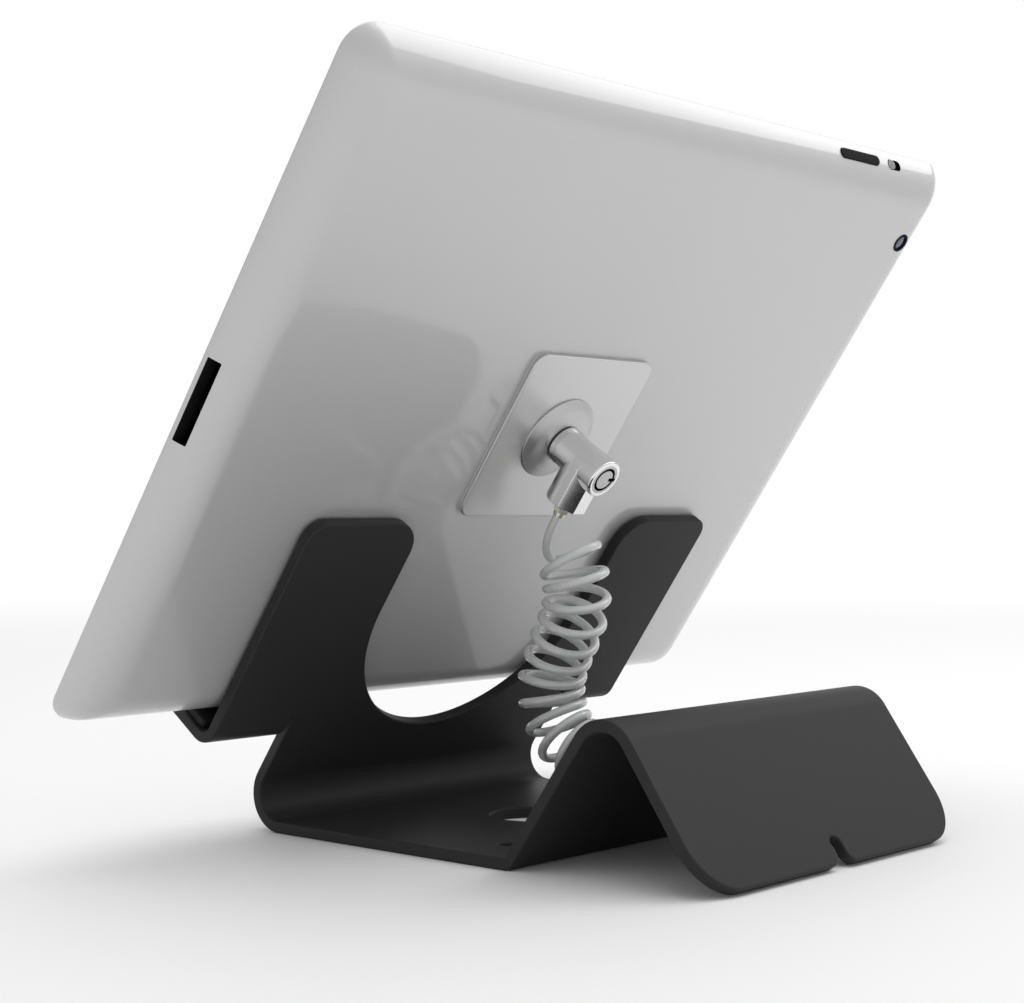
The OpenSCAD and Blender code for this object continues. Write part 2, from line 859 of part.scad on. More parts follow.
module inset_block(inset, z0, z1) {
  translate([0, 0, z0])
    linear_extrude(z1 - z0)
      round_rect(tablet_w - 2 * inset, tablet_h - 2 * inset, max(corner_r - inset, 3));
}

module key_pocket(l, depth) {
  translate([0, 0, edge_r - depth])
    linear_extrude(depth + 1)
      stadium(l, key_w + 2 * key_gap);
}

module jack_row(d, from, to) {
  translate([tablet_w / 2 - to, jack_y, dock_z + 0.75])
    rotate([0, 90, 0])
      cylinder(d = d, h = to - from);
}

module rear_shell() {
  color([0.72, 0.73, 0.75])
    in_tablet()
      difference() {
        tablet_blank();
        inset_block(frame_in, 0, frame_z);
        inset_block(tray_in, 0, tray_z);
        inset_block(well_in, 0, well_z);
        translate([-tablet_w / 2 - e, -dock_w / 2, dock_z - dock_h / 2])
          cube([edge_in + e, dock_w, dock_h]);
        at_top_edge(volume_x)
          key_pocket(volume_len + 2 * key_gap, key_depth);
        at_top_edge(mute_x)
          key_pocket(mute_len, key_depth - 0.4);
        at_side_edge(power_y)
          key_pocket(power_len + 2 * key_gap, key_depth);
        jack_row(jack_d + 1.2 + 2 * fit, -e, edge_in);
        translate([camera_x, camera_y, well_z - 2])
          cylinder(d = camera_d + 2 * fit, h = 4);
      }
}

module glass_frame() {
  color([0.05, 0.05, 0.05])
    in_tablet()
      difference() {
        inset_block(frame_in + 0.05, glass_t, frame_z);
        inset_block(tray_in, 0, tray_z);
      }
}

module front_glass() {
  color([0.03, 0.03, 0.035])
    in_tablet()
      difference() {
        inset_block(frame_in + 0.2, 0, glass_t);
        translate([home_in - tablet_w / 2, 0, -e])
          cylinder(d = home_d + 0.4, h = glass_t + 2 * e);
      }
}

module display_panel() {
  color([0.1, 0.1, 0.11])
    in_tablet()
      translate([-panel_w / 2, -panel_h / 2, glass_t])
        cube([panel_w, panel_h, panel_t]);
}

module battery_cells() {
  cell_w = (well_w - 6 * inner_gap) / 3;
  cell_h = well_h - board_h - 3 * inner_gap;
  cell_t = well_z - tray_z - 1;
  color([0.12, 0.12, 0.12])
    in_tablet()
      for (m = [-1, 0, 1])
        translate([
          m * (cell_w + inner_gap / 2) - cell_w / 2, inner_gap - well_h / 2, well_z - cell_t
        ])
          cube([cell_w, cell_h, cell_t]);
}

module logic_board() {
  color([0.05, 0.2, 0.12])
    in_tablet()
      translate([0, board_y, 0]) {
        translate([-board_w / 2, -board_h / 2, well_z - 1.6])
          cube([board_w, board_h, 1]);
        for (x = [-1, 1], y = [-1, 1])
          translate([x * (board_w / 2 - 4), y * (board_h / 2 - 4), well_z - 0.6])
            cylinder(d = 3, h = 0.6);
        for (x = [-0.3, -0.04, 0.21])
          translate([x * board_w, -7, well_z - 3])
            cube([15, 14, 1.4]);
      }
}

module dock_connector() {
  plug_h = dock_h - 0.6;
  plug_w = dock_w - 0.4;
  color([0.04, 0.04, 0.04])
    in_tablet()
      translate([5 - tablet_w / 2, 0, dock_z + 0.2])
        difference() {
          translate([0, -plug_w / 2, -plug_h / 2])
            cube([9, plug_w, plug_h]);
          translate([-e, 1 - plug_w / 2, 0.5 - plug_h / 2])
            cube([5, plug_w - 2, plug_h - 0.9]);
        }
}

module headphone_jack() {
  color([0.05, 0.05, 0.05])
    in_tablet()
      difference() {
        intersection() {
          jack_row(jack_d + 1.2, 0, edge_in + 2);
          tablet_blank();
        }
        jack_row(jack_d, -e, edge_in - 1);
      }
}

module camera_ring() {
  color([0.25, 0.25, 0.26])
    in_tablet()
      translate([camera_x, camera_y, well_z - 1.6])
        tube_of(camera_d, camera_d - 1.4, wall_t + 1.8);
}

module camera_lens() {
  lens_d = camera_d - 1.4 - 2 * fit;
  color([0.03, 0.03, 0.05])
    in_tablet()
      translate([camera_x, camera_y, well_z - 1])
        intersection() {
          cylinder(d = lens_d, h = 1.9);
          translate([0, 0, 1.9 - 12])
            sphere(12, $fn = 96);
        }
}

// A key whose top follows the curved edge, proud of it by the given height
module edge_key(l, w, depth, proud) {
  intersection() {
    translate([0, 0, edge_r - depth])
      linear_extrude(depth + 1)
        stadium(l, w);
    translate([-l, 0, 0])
      rotate([0, 90, 0])
        cylinder(r = edge_r + proud, h = 2 * l, $fn = 128);
  }
}

module volume_rocker() {
  rib_r = key_travel - fit;
  color([0.05, 0.05, 0.05])
    in_tablet()
      at_top_edge(volume_x) {
        edge_key(volume_len, key_w, key_depth - key_travel, key_proud);
        translate([0, key_w / 2, edge_r - key_depth + key_travel])
          rotate([90, 0, 0])
            cylinder(r = rib_r, h = key_w);
      }
}

module mute_switch() {
  color([0.6, 0.6, 0.6])
    in_tablet()
      at_top_edge(mute_x - (mute_len - mute_key) / 2 + 0.2)
        edge_key(mute_key, key_w, key_depth - 0.5, 0.2);
}

module power_button() {
  color([0.05, 0.05, 0.05])
    in_tablet()
      at_side_edge(power_y)
        edge_key(power_len, key_w, key_depth - key_travel - 0.1, key_proud);
}

module home_button() {
  color([0.04, 0.04, 0.04])
    in_tablet()
      translate([home_in - tablet_w / 2, 0, 0.15])
        difference() {
          cylinder(d = home_d, h = glass_t + 0.7);
          translate([0, 0, 0.5 - 36])
            sphere(36, $fn = 128);
        }
}

stand_sheet();
ledge_pads();
arm_pads();
cord_grommet();
tether_anchor();
tether_tail();
tether_coil();
tether_lead();
cord_ferrule();
swivel_bush();
lock_body();
lock_pins();
key_core();
lock_spindle();
lock_dome();
security_plate();
plate_adhesive();
rear_shell();
glass_frame();
front_glass();
display_panel();
battery_cells();
logic_board();
dock_connector();
headphone_jack();
camera_ring();
camera_lens();
volume_rocker();
mute_switch();
power_button();
home_button();
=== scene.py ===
# %% [markdown]
# # A tablet kiosk stand
# One bent steel sheet holds a tablet on two hooks, and a keyed lock on a bonded plate ties the
# tablet to the sheet with a curly tether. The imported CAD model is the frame: every piece here
# lies in its coordinates, in metres, and follows one of its bodies.

import json
import math

import bmesh
import bpy
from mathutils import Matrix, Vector
from mathutils.bvhtree import BVHTree
from mathutils.geometry import tessellate_polygon
from mathutils.interpolate import poly_3d_calc


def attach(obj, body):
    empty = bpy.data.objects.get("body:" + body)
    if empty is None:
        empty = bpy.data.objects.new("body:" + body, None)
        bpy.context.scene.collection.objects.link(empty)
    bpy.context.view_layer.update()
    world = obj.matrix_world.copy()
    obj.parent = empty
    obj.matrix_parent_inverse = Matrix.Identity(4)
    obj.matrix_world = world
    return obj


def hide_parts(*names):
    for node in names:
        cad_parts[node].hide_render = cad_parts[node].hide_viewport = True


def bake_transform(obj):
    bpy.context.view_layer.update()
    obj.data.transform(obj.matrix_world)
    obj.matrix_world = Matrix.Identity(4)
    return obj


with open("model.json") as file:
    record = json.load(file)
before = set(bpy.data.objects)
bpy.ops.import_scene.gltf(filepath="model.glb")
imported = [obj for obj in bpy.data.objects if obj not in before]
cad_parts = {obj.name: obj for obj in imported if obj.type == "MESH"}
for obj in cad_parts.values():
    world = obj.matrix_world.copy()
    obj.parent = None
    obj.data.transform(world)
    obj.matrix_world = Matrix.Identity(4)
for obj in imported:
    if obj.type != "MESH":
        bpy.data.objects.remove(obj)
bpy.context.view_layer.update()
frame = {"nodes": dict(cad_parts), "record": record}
nodes = frame["nodes"]

# %% [markdown]
# The sizes below are the CAD model's, in millimetres. The back plate leans at 55 degrees, and
# the slope of the ridge happens to have the same angle, so one sine and one cosine serve both.
# Each function takes a place in one part's own frame to the stand's frame in metres.

# %% Frames of the plate, the tablet, the lock and the slope
MM = 0.001
LEAN_DEG = 55
LEAN = math.radians(LEAN_DEG)
COS, SIN = math.cos(LEAN), math.sin(LEAN)
BASE_FRONT, FRONT_R, FOOT_R, CREST_R, SHEET_T = 42.0, 10.0, 4.0, 10.0, 3.0
BASE_REAR, RIDGE_H, BASE_W = 39.6, 38.3, 111.0
TABLET_W, TABLET_H, TABLET_T = 241.2, 185.7, 9.4
TABLET_SIDE, TABLET_RISE, TABLET_FRONT = 4.55, 110.5, 20.05
LOCK_SIDE, LOCK_DROP = 1.6, 1.0
FOOT_Y = BASE_REAR - FOOT_R * math.tan(LEAN / 2)
APEX_Z = RIDGE_H + CREST_R * (1 / COS - 1)
CREST_Y = BASE_REAR - SHEET_T / SIN + APEX_Z / math.tan(LEAN)
CREST_Z = RIDGE_H - CREST_R
SLOPE_LEN = (CREST_Y - FOOT_Y) * COS + (CREST_Z - FOOT_R) * SIN
LEG_LEN = (CREST_Z + (CREST_R - SHEET_T) * COS) / SIN


def on_plate(x, y, z):
    """Back plate's frame: x to the sheet's left, y up the plate, z towards the rear."""
    return Vector((-x, y * COS + z * SIN - BASE_FRONT, y * SIN - z * COS + FRONT_R)) * MM


def on_tablet(x, y, z):
    """Tablet's frame: its middle on the front glass, z towards its back."""
    return on_plate(x - TABLET_SIDE, y + TABLET_RISE, z - TABLET_FRONT)


def on_lock(x, y, z):
    """Lock's frame: its axis on the tablet's back, z along the axis."""
    return on_tablet(x - LOCK_SIDE, y - LOCK_DROP, z + TABLET_T)


def on_slope(x, y, z):
    """Slope's frame: y up the ridge's front side, z square to it."""
    return Vector((x, FOOT_Y + y * COS - z * SIN, FOOT_R + y * SIN + z * COS)) * MM


UP_PLATE = Vector((0, COS, SIN))
OUT_OF_BACK = Vector((0, SIN, -COS))
print("lock axis starts at", [round(c, 4) for c in on_lock(0, 0, 0)])

# %% [markdown]
# The camera stands behind the stand, at about half its height, and looks level. Its distance and
# lens come from the tablet's known size in the view. The tablet is also what fixes its height,
# since its corners are the sharpest points to measure.

# %% Camera
LENS_MM, SENSOR_MM = 69.27, 36
CAMERA_AT, VIEW_DIRECTION = (0.40626, 0.35013, 0.088055), (-0.75006, -0.66137, 0)


def link_object(name, data):
    made = bpy.data.objects.new(name, data)
    bpy.context.scene.collection.objects.link(made)
    return made


def aimed(name, data, place, direction):
    """An object at a place that looks along a direction."""
    made = link_object(name, data)
    made.location = place
    made.rotation_mode = "QUATERNION"
    made.rotation_quaternion = Vector(direction).to_track_quat("-Z", "Y")
    return made


camera_data = bpy.data.cameras.new("camera")
camera_data.lens = LENS_MM
camera_data.sensor_width = SENSOR_MM
camera = aimed("camera", camera_data, CAMERA_AT, VIEW_DIRECTION)
bpy.context.scene.camera = camera
print("camera at", [round(c, 3) for c in camera.location])

# %% [markdown]
# Shaders are sums of small ideas: a grain, a cloud, a mask. Written with plain arithmetic they
# stay readable, so a socket gets the usual operators, and one method makes any other node.

# %% Shader arithmetic
class Sock:
    """A node's output that adds, multiplies and so on with numbers and with other outputs."""

    def __init__(self, net, out):
        self.net, self.out = net, out

    def __add__(self, other):
        return self.net.math("ADD", self, other)

    __radd__ = __add__

    def __sub__(self, other):
        return self.net.math("SUBTRACT", self, other)

    def __rsub__(self, other):
        return self.net.math("SUBTRACT", other, self)

    def __mul__(self, other):
        return self.net.math("MULTIPLY", self, other)

    __rmul__ = __mul__

    def __truediv__(self, other):
        return self.net.math("DIVIDE", self, other)

    def __rtruediv__(self, other):
        return self.net.math("DIVIDE", other, self)

    def __pow__(self, other):
        return self.net.math("POWER", self, other)

    def step(self, low, high):
        """0 below low, 1 above high, smooth between."""
        return self.net.node(
            "ShaderNodeMapRange",
            {"interpolation_type": "SMOOTHSTEP"},
            {"Value": self, "From Min": low, "From Max": high},
        )


class Net:
    """The node tree of one material, or of the sky."""

    def __init__(self, name, owner=None, place="Object"):
        self.owner = owner or bpy.data.materials.new(name)
        self.owner.use_nodes = True
        self.tree = self.owner.node_tree
        self.tree.nodes.clear()
        self.place = self.node("ShaderNodeTexCoord", out=place)

    def put(self, socket, value):
        if isinstance(value, Sock):
            self.tree.links.new(value.out, socket)
        else:
            socket.default_value = value

    def node(self, kind, settings=None, sockets=None, out=0):
        made = self.tree.nodes.new(kind)
        for name, value in (settings or {}).items():
            setattr(made, name, value)
        for name, value in (sockets or {}).items():
            self.put(made.inputs[name], value)
        return Sock(self, made.outputs[out]) if made.outputs else made

    def math(self, operation, a, b):
        return self.node("ShaderNodeMath", {"operation": operation}, {0: a, 1: b})

    def noise(self, scale, detail=3.0):
        sockets = {"Vector": self.place, "Scale": scale, "Detail": detail}
        return self.node("ShaderNodeTexNoise", None, sockets)

    def axis(self, letter):
        return self.node("ShaderNodeSeparateXYZ", None, {0: self.place}, letter)

    def tint(self, factor, low, high):
        """A colour from low to high. A Mix node's colours are its sockets 6 and 7 and its output 2."""
        sockets = {"Factor": factor, 6: (*low, 1), 7: (*high, 1)}
        return self.node("ShaderNodeMix", {"data_type": "RGBA"}, sockets, out=2)

    def bump(self, height, distance, strength):
        sockets = {"Height": height, "Distance": distance, "Strength": strength}
        return self.node("ShaderNodeBump", None, sockets)

    def surface(self, **values):
        """The surface itself. Keyword names are the shader's socket names with _ for a space."""
        sockets = {name.replace("_", " "): value for name, value in values.items()}
        return self.node("ShaderNodeBsdfPrincipled", None, sockets)

    def show(self, surface, output="ShaderNodeOutputMaterial"):
        self.node(output, None, {"Surface": surface})
        return self.owner

    def finish(self, **values):
        return self.show(self.surface(**values))


print("shader helpers ready")

# %% [markdown]
# ## Materials
# The stand is powder-coated steel, the pads are rubber and the tether has a smooth plastic skin.
# Each finish could be one flat colour, but powder paint has a fine orange-peel, rubber a grain and
# the skin a soft change in its shine. A noise at the real scale of each gives these.

# %% Paint, rubber and plastics
def stand_paint():
    net = Net("stand_paint")
    peel = net.noise(1400, 2)
    cloud = net.noise(35, 3)
    return net.finish(
        Base_Color=net.tint(cloud, (0.028, 0.028, 0.0285), (0.033, 0.033, 0.0335)),
        Roughness=0.43 + 0.08 * cloud,
        Normal=net.bump(peel, 0.00002, 0.5),
        Specular_IOR_Level=0.11,
    )


def dull(name, low, high, rough, scale, gloss):
    """Rubber, foam or moulded plastic: two close colours and a grain."""
    net = Net(name)
    grain = net.noise(scale, 4)
    return net.finish(
        Base_Color=net.tint(grain, low, high),
        Roughness=rough - 0.06 + 0.12 * grain,
        Normal=net.bump(grain, 0.00003, 0.4),
        Specular_IOR_Level=gloss,
    )


def cord_skin():
    net = Net("cord_skin")
    cloud = net.noise(90, 3)
    return net.finish(
        Base_Color=net.tint(cloud, (0.56, 0.565, 0.57), (0.64, 0.645, 0.65)),
        Roughness=0.22 + 0.1 * cloud,
        Coat_Weight=0.7 + 0.2 * cloud,
        Coat_Roughness=0.07,
        Coat_IOR=1.6,
    )


paints = {"stand_paint": stand_paint(), "cord_skin": cord_skin()}
for name, *look in (
    ("pad_rubber", (0.012, 0.012, 0.012), (0.02, 0.02, 0.02), 0.75, 900, 0.3),
    ("adhesive", (0.5, 0.5, 0.5), (0.56, 0.56, 0.56), 0.85, 1200, 0.3),
    ("black_plastic", (0.006, 0.006, 0.007), (0.009, 0.009, 0.01), 0.6, 700, 0.07),
    ("switch_grey", (0.2, 0.2, 0.21), (0.26, 0.26, 0.27), 0.45, 700, 0.3),
):
    paints[name] = dull(name, *look)
print("paints:", sorted(paints))

# %% [markdown]
# The tablet's back, the plate and the saucer are blasted aluminium, and the lock is plated and
# polished. One low roughness would make a polished metal shine alike all over, so a slow noise
# moves it a little. The blasted pieces have a fine grain instead, under a thin clear film that
# gives the faint mirror image of what stands near.

# %% Metals
def metal(name, low, high, rough, spread, scale, grain):
    """A metal whose shine changes along a noise."""
    net = Net(name)
    flow = net.noise(scale)
    return net.finish(
        Base_Color=net.tint(flow, low, high),
        Metallic=1.0,
        Roughness=rough - spread / 2 + spread * flow,
        Normal=net.bump(flow, grain, 0.25),
    )


def satin(name, low, high, metallic, rough, shine):
    """Blasted and sealed aluminium: a soft grey body under a thin clear film."""
    net = Net(name)
    grain = net.noise(5200, 1)
    cloud = net.noise(14, 2)
    return net.finish(
        Base_Color=net.tint(cloud, low, high),
        Metallic=metallic,
        Roughness=rough + 0.06 * grain,
        Normal=net.bump(grain, 0.000004, 0.3),
        Coat_Weight=shine,
        Coat_Roughness=0.06,
        Coat_IOR=1.6,
    )


for name, *look in (
    ("shell_aluminium", (0.56, 0.56, 0.563), (0.585, 0.585, 0.588), 0.5, 0.5, 0.9),
    ("plate_aluminium", (0.58, 0.58, 0.583), (0.61, 0.61, 0.613), 0.95, 0.33, 0.2),
    ("saucer_satin", (0.5, 0.5, 0.503), (0.53, 0.53, 0.533), 1.0, 0.36, 0.1),
):
    paints[name] = satin(name, *look)
for name, *look in (
    ("lock_chrome", (0.86, 0.862, 0.866), (0.9, 0.902, 0.906), 0.1, 0.04, 400, 0.000001),
    ("lock_steel", (0.5, 0.5, 0.51), (0.58, 0.58, 0.59), 0.28, 0.1, 900, 0.00001),
    ("ferrule_brass", (0.86, 0.81, 0.62), (0.9, 0.86, 0.69), 0.22, 0.08, 700, 0.00001),
):
    paints[name] = metal(name, *look)
print("finishes so far:", len(paints))

# %% [markdown]
# The front is one sheet of dark glass with the screen behind it. A second plate could show the
# screen, but a soft step between two near blacks is all that a screen shows while it is off. The
# blocks inside the tablet get a brick pattern, which makes regular fields at the right scale.

# %% Glass, display and what lies inside
SCREEN_EDGE = (0.0984, 0.0987)


def front_glass():
    """The step lies at the screen's end, in metres from the tablet's middle."""
    net = Net("front_glass")
    cloud = net.noise(20, 2)
    offset = net.axis("X") - TABLET_SIDE * MM
    across = net.node("ShaderNodeMath", {"operation": "ABSOLUTE"}, {0: offset})
    screen = 1.0 - across.step(*SCREEN_EDGE)
    return net.finish(
        Base_Color=net.tint(screen, (0.006, 0.006, 0.007), (0.013, 0.014, 0.017)),
        Roughness=0.04 + 0.03 * cloud,
        Coat_Weight=0.6,
        Coat_Roughness=0.02,
    )


def camera_glass():
    net = Net("camera_glass")
    cloud = net.noise(600, 2)
    return net.finish(
        Base_Color=net.tint(cloud, (0.012, 0.025, 0.08), (0.03, 0.06, 0.15)),
        Roughness=0.05 + 0.04 * cloud,
        Coat_Weight=0.8,
    )


def cells(name, low, high, scale, rough):
    """Regular fields: traces on a board, or the wrap of a battery cell."""
    net = Net(name)
    sockets = {"Vector": net.place, "Scale": scale, "Color1": (*low, 1), "Color2": (*high, 1)}
    sockets["Mortar"] = (*[c * 0.6 for c in low], 1)
    brick = net.node("ShaderNodeTexBrick", None, sockets)
    return net.finish(Base_Color=brick, Roughness=rough + 0.1 * net.noise(300))


paints.update(front_glass=front_glass(), camera_glass=camera_glass())
for name, *look in (
    ("display", (0.02, 0.02, 0.022), (0.03, 0.03, 0.033), 400, 0.3),
    ("battery", (0.03, 0.03, 0.03), (0.05, 0.05, 0.05), 60, 0.5),
    ("board", (0.01, 0.06, 0.035), (0.015, 0.08, 0.05), 500, 0.4),
):
    paints[name] = cells(name, *look)
slots = {row["node"]: row["material_slot"] for row in frame["record"]["subparts"]}
for name, node in nodes.items():
    node.data.materials.clear()
    node.data.materials.append(paints[slots[name]])
print("finishes:", len(paints), "on", len(slots), "nodes")

# %% [markdown]
# ## Tether
# The tether is a cord wound thirteen times around a curved line, with a straight lead at the
# lock and a tail that dives into the ridge. It could be a bevelled curve, but a Geometry Nodes
# tree that sweeps a circle along the route keeps the thickness and the roundness as inputs.
# The route is made of the same curves as the CAD solid, with four times as many points.

# %% Route of the tether
CORD_D, COIL_R = 2.4, 8.0
COIL_FROM, COIL_TO, COIL_N, LEAD_N = 0.22, 13.25, 420, 24
BOSS_LEN, BOSS_Z, FERRULE_LEN = 12.6, 13.6, 4.0
TETHER_HOLE_Y, GROMMET_LIP, TAIL_PAST = 20.0, 1.2, 1.7
LEAD_PULL, COIL_PULL, TAIL_PULL, AXIS_STEP, COIL_STEP = 7, 8, 12, 0.01, 0.002
COIL_AXIS = [
    Vector(p)
    for p in (
        (6.4, 14, 81), (6.2, 16.5, 75.8), (5.8, 18.7, 70.4), (5.3, 19.4, 65), (4.7, 18.4, 59.6),
        (4.2, 16, 54.6), (3.7, 13, 49.8), (3.1, 10.3, 45), (2.6, 8.4, 39.8), (2, 8.2, 34.3),
        (1.5, 9.8, 29), (1, 13, 24.5), (0.5, 17.4, 21.2), (0, 22.6, 19.2), (0, 28, 18.2),
        (0, 33.4, 18), (0, 38.8, 18),
    )
]  # fmt: skip


def through(points, p):
    """Point on a smooth curve through the points, p counted in points."""
    i = min(math.floor(p), len(points) - 4)
    a, b, c, d = points[i : i + 4]
    t = p - i
    return (
        2 * b + (c - a) * t + (2 * a - 5 * b + 4 * c - d) * t**2 + (3 * b - a - 3 * c + d) * t**3
    ) / 2


def coil_point(p):
    t = (through(COIL_AXIS, p + AXIS_STEP) - through(COIL_AXIS, p - AXIS_STEP)).normalized()
    across = (Vector((-1, 0, 0)) + t.x * t).normalized()
    turn = 2 * math.pi * p
    side = math.cos(turn) * across.cross(t) + math.sin(turn) * across
    return through(COIL_AXIS, p) + COIL_R * side


def coil_direction(p):
    return (coil_point(p + COIL_STEP) - coil_point(p - COIL_STEP)).normalized()


def bent(a, b, c, d, n):
    """Points on a cubic curve from a to d, with handles b and c."""
    out = []
    for i in range(n + 1):
        t = i / n
        s = 1 - t
        out.append(s**3 * a + 3 * s * s * t * b + 3 * s * t * t * c + t**3 * d)
    return out


def tether_route():
    """From the ferrule through the coil into the ridge. The pulls are the lengths of the handles."""
    span = COIL_TO - COIL_FROM
    coil = [coil_point(COIL_FROM + span * i / COIL_N) for i in range(COIL_N + 1)]
    t0, t1 = coil_direction(COIL_FROM), coil_direction(COIL_TO)
    top = on_lock(0, -BOSS_LEN - FERRULE_LEN, BOSS_Z) / MM
    down = -UP_PLATE
    lead_a, lead_d = top + CORD_D * down, coil[0] - 2 * CORD_D * t0
    lead = bent(lead_a, lead_a + LEAD_PULL * down, lead_d - COIL_PULL * t0, lead_d, LEAD_N)
    into = OUT_OF_BACK
    end = on_slope(0, TETHER_HOLE_Y, -FOOT_R - TAIL_PAST) / MM
    tail_d = on_slope(0, TETHER_HOLE_Y, SHEET_T - FOOT_R + GROMMET_LIP + CORD_D) / MM
    tail_a = coil[-1] + 2 * CORD_D * t1
    tail = bent(tail_a, tail_a + TAIL_PULL * t1, tail_d - TAIL_PULL * into, tail_d, LEAD_N)
    route = [top, *lead, coil[0] - CORD_D * t0, *coil, coil[-1] + CORD_D * t1, *tail, end]
    return [p * MM for p in route]


route = tether_route()
cord_length = sum((b - a).length for a, b in zip(route, route[1:]))
print("tether:", len(route), "points,", round(cord_length, 4), "m long")

# %% [markdown]
# The tree turns the row of points into a curve, carries a circle along it and closes both ends.
# The radius and the number of sides are its inputs, so a thicker cord is one number. The result is
# kept as a plain mesh, because the pieces are handed on without modifiers.

# %% Sweep the cord
def sweep_tree():
    """Geometry Nodes: a row of edges becomes a round cord with closed ends."""
    tree = bpy.data.node_groups.new("sweep_cord", "GeometryNodeTree")
    for name, kind in (
        ("Geometry", "Geometry"), ("Radius", "Float"), ("Sides", "Int"), ("Material", "Material"),
    ):  # fmt: skip
        tree.interface.new_socket(name, in_out="INPUT", socket_type="NodeSocket" + kind)
    tree.interface.new_socket("Geometry", in_out="OUTPUT", socket_type="NodeSocketGeometry")
    kinds = {
        "start": "NodeGroupInput",
        "line": "GeometryNodeMeshToCurve",
        "ring": "GeometryNodeCurvePrimitiveCircle",
        "sweep": "GeometryNodeCurveToMesh",
        "smooth": "GeometryNodeSetShadeSmooth",
        "real": "GeometryNodeRealizeInstances",
        "paint": "GeometryNodeSetMaterial",
        "end": "NodeGroupOutput",
    }
    made = {name: tree.nodes.new(kind) for name, kind in kinds.items()}
    made["sweep"].inputs["Fill Caps"].default_value = True
    for a, out, b, into in (
        ("start", "Geometry", "line", "Mesh"),
        ("start", "Radius", "ring", "Radius"),
        ("start", "Sides", "ring", "Resolution"),
        ("line", "Curve", "sweep", "Curve"),
        ("ring", "Curve", "sweep", "Profile Curve"),
        ("sweep", "Mesh", "smooth", "Geometry"),
        ("smooth", "Geometry", "real", "Geometry"),
        ("real", "Geometry", "paint", "Geometry"),
        ("start", "Material", "paint", "Material"),
        ("paint", "Geometry", "end", "Geometry"),
    ):
        tree.links.new(made[a].outputs[out], made[b].inputs[into])
    return tree


def settled(obj, modifier):
    """Keeps what the modifier makes of the object as its plain mesh."""
    graph = bpy.context.evaluated_depsgraph_get()
    graph.update()
    mesh = bpy.data.meshes.new_from_object(obj.evaluated_get(graph))
    obj.modifiers.remove(modifier)
    old, obj.data = obj.data, mesh
    mesh.name = obj.name
    bpy.data.meshes.remove(old)
    return mesh


def run_tree(obj, tree, values):
    """Runs a tree on a mesh object with its named inputs and keeps the plain mesh."""
    modifier = obj.modifiers.new(tree.name, "NODES")
    modifier.node_group = tree
    for item in tree.interface.items_tree:
        if item.in_out == "INPUT" and item.name in values:
            modifier[item.identifier] = values[item.name]
    settled(obj, modifier)
    return obj


CORD_SIDES = 20
line = bpy.data.meshes.new("tether")
line.from_pydata(route, [(i, i + 1) for i in range(len(route) - 1)], [])
tether = run_tree(
    link_object("tether", line),
    sweep_tree(),
    {"Radius": CORD_D / 2 * MM, "Sides": CORD_SIDES, "Material": paints["cord_skin"]},
)
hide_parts("tether_lead", "tether_coil", "tether_tail")
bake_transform(tether)
print("tether:", len(tether.data.vertices), "vertices")

# %% [markdown]
# ## Cut and folded sheets
# A sheet-metal part starts as a flat cut-out, so that is how the stand is drawn here: one outline
# with its holes, a fold that takes every point of the flat pattern to its place, and an edge
# that is rounded over. Solidify and Bevel modifiers could give the thickness and the
# roundness, but where a hole comes close to a bend they pinch. Making both faces and the
# rounded edge from the same outline keeps every normal exact.

# %% Rounded sheets from flat outlines
def inward(loop):
    """For each point of a closed loop, the step into the sheet that moves both its sides by one."""
    steps = []
    for i, point in enumerate(loop):
        back = (Vector(point) - Vector(loop[i - 1])).normalized()
        ahead = (Vector(loop[(i + 1) % len(loop)]) - Vector(point)).normalized()
        a, b = Vector((back.y, -back.x)), Vector((ahead.y, -ahead.x))
        steps.append((a + b) / (1 + a.dot(b)))
    return steps


def edge_profile(t, r, steps):
    """Rows of (how far in from the outline, height, outward share, upward share)."""
    rows = []
    for half in (0, 1):
        for k in range(steps + 1):
            a = math.pi / 2 * (k / steps + half)
            height = (t - r if half else r) - r * math.cos(a)
            rows.append((r - r * math.sin(a), height, math.sin(a), -math.cos(a)))
    return rows


def sheet_form(loops, faces, fold, t, r, steps=3):
    """Points, normals and faces of a sheet of thickness t with its edges rounded by r. loops hold
    the outline, then the holes, each with the sheet on its right. faces name points of the joined
    loops, each as (outline, holes). fold takes a flat place and a height to (place, x direction,
    y direction, up direction)."""
    flat = [Vector(p) for loop in loops for p in loop]
    steps_in = [s for loop in loops for s in inward(loop)]
    rows = edge_profile(t, r, steps)
    verts, normals, polys = [], [], []
    for p, s in zip(flat, steps_in):
        out = -s.normalized()
        for inset, height, side, up in rows:
            q = p + s * inset
            place, along_x, along_y, upward = fold(q.x, q.y, height)
            verts.append(place)
            normals.append(side * (out.x * along_x + out.y * along_y) + up * upward)
    n, first = len(rows), 0
    for loop in loops:
        for i in range(len(loop)):
            a, b = first + i, first + (i + 1) % len(loop)
            for k in range(n - 1):
                polys.append((a * n + k, b * n + k, b * n + k + 1, a * n + k + 1))
        first += len(loop)
    for outline, holes in faces:
        parts = [outline]
        if holes:
            rings = [outline, *holes]
            ids = [i for ring in rings for i in ring]
            inset = [[(flat[i] + steps_in[i] * r).to_3d() for i in ring] for ring in rings]
            parts = [[ids[i] for i in tri] for tri in tessellate_polygon(inset)]
        for part in parts:
            polys.append([i * n for i in part])
            polys.append([i * n + n - 1 for i in reversed(part)])
    return verts, normals, polys


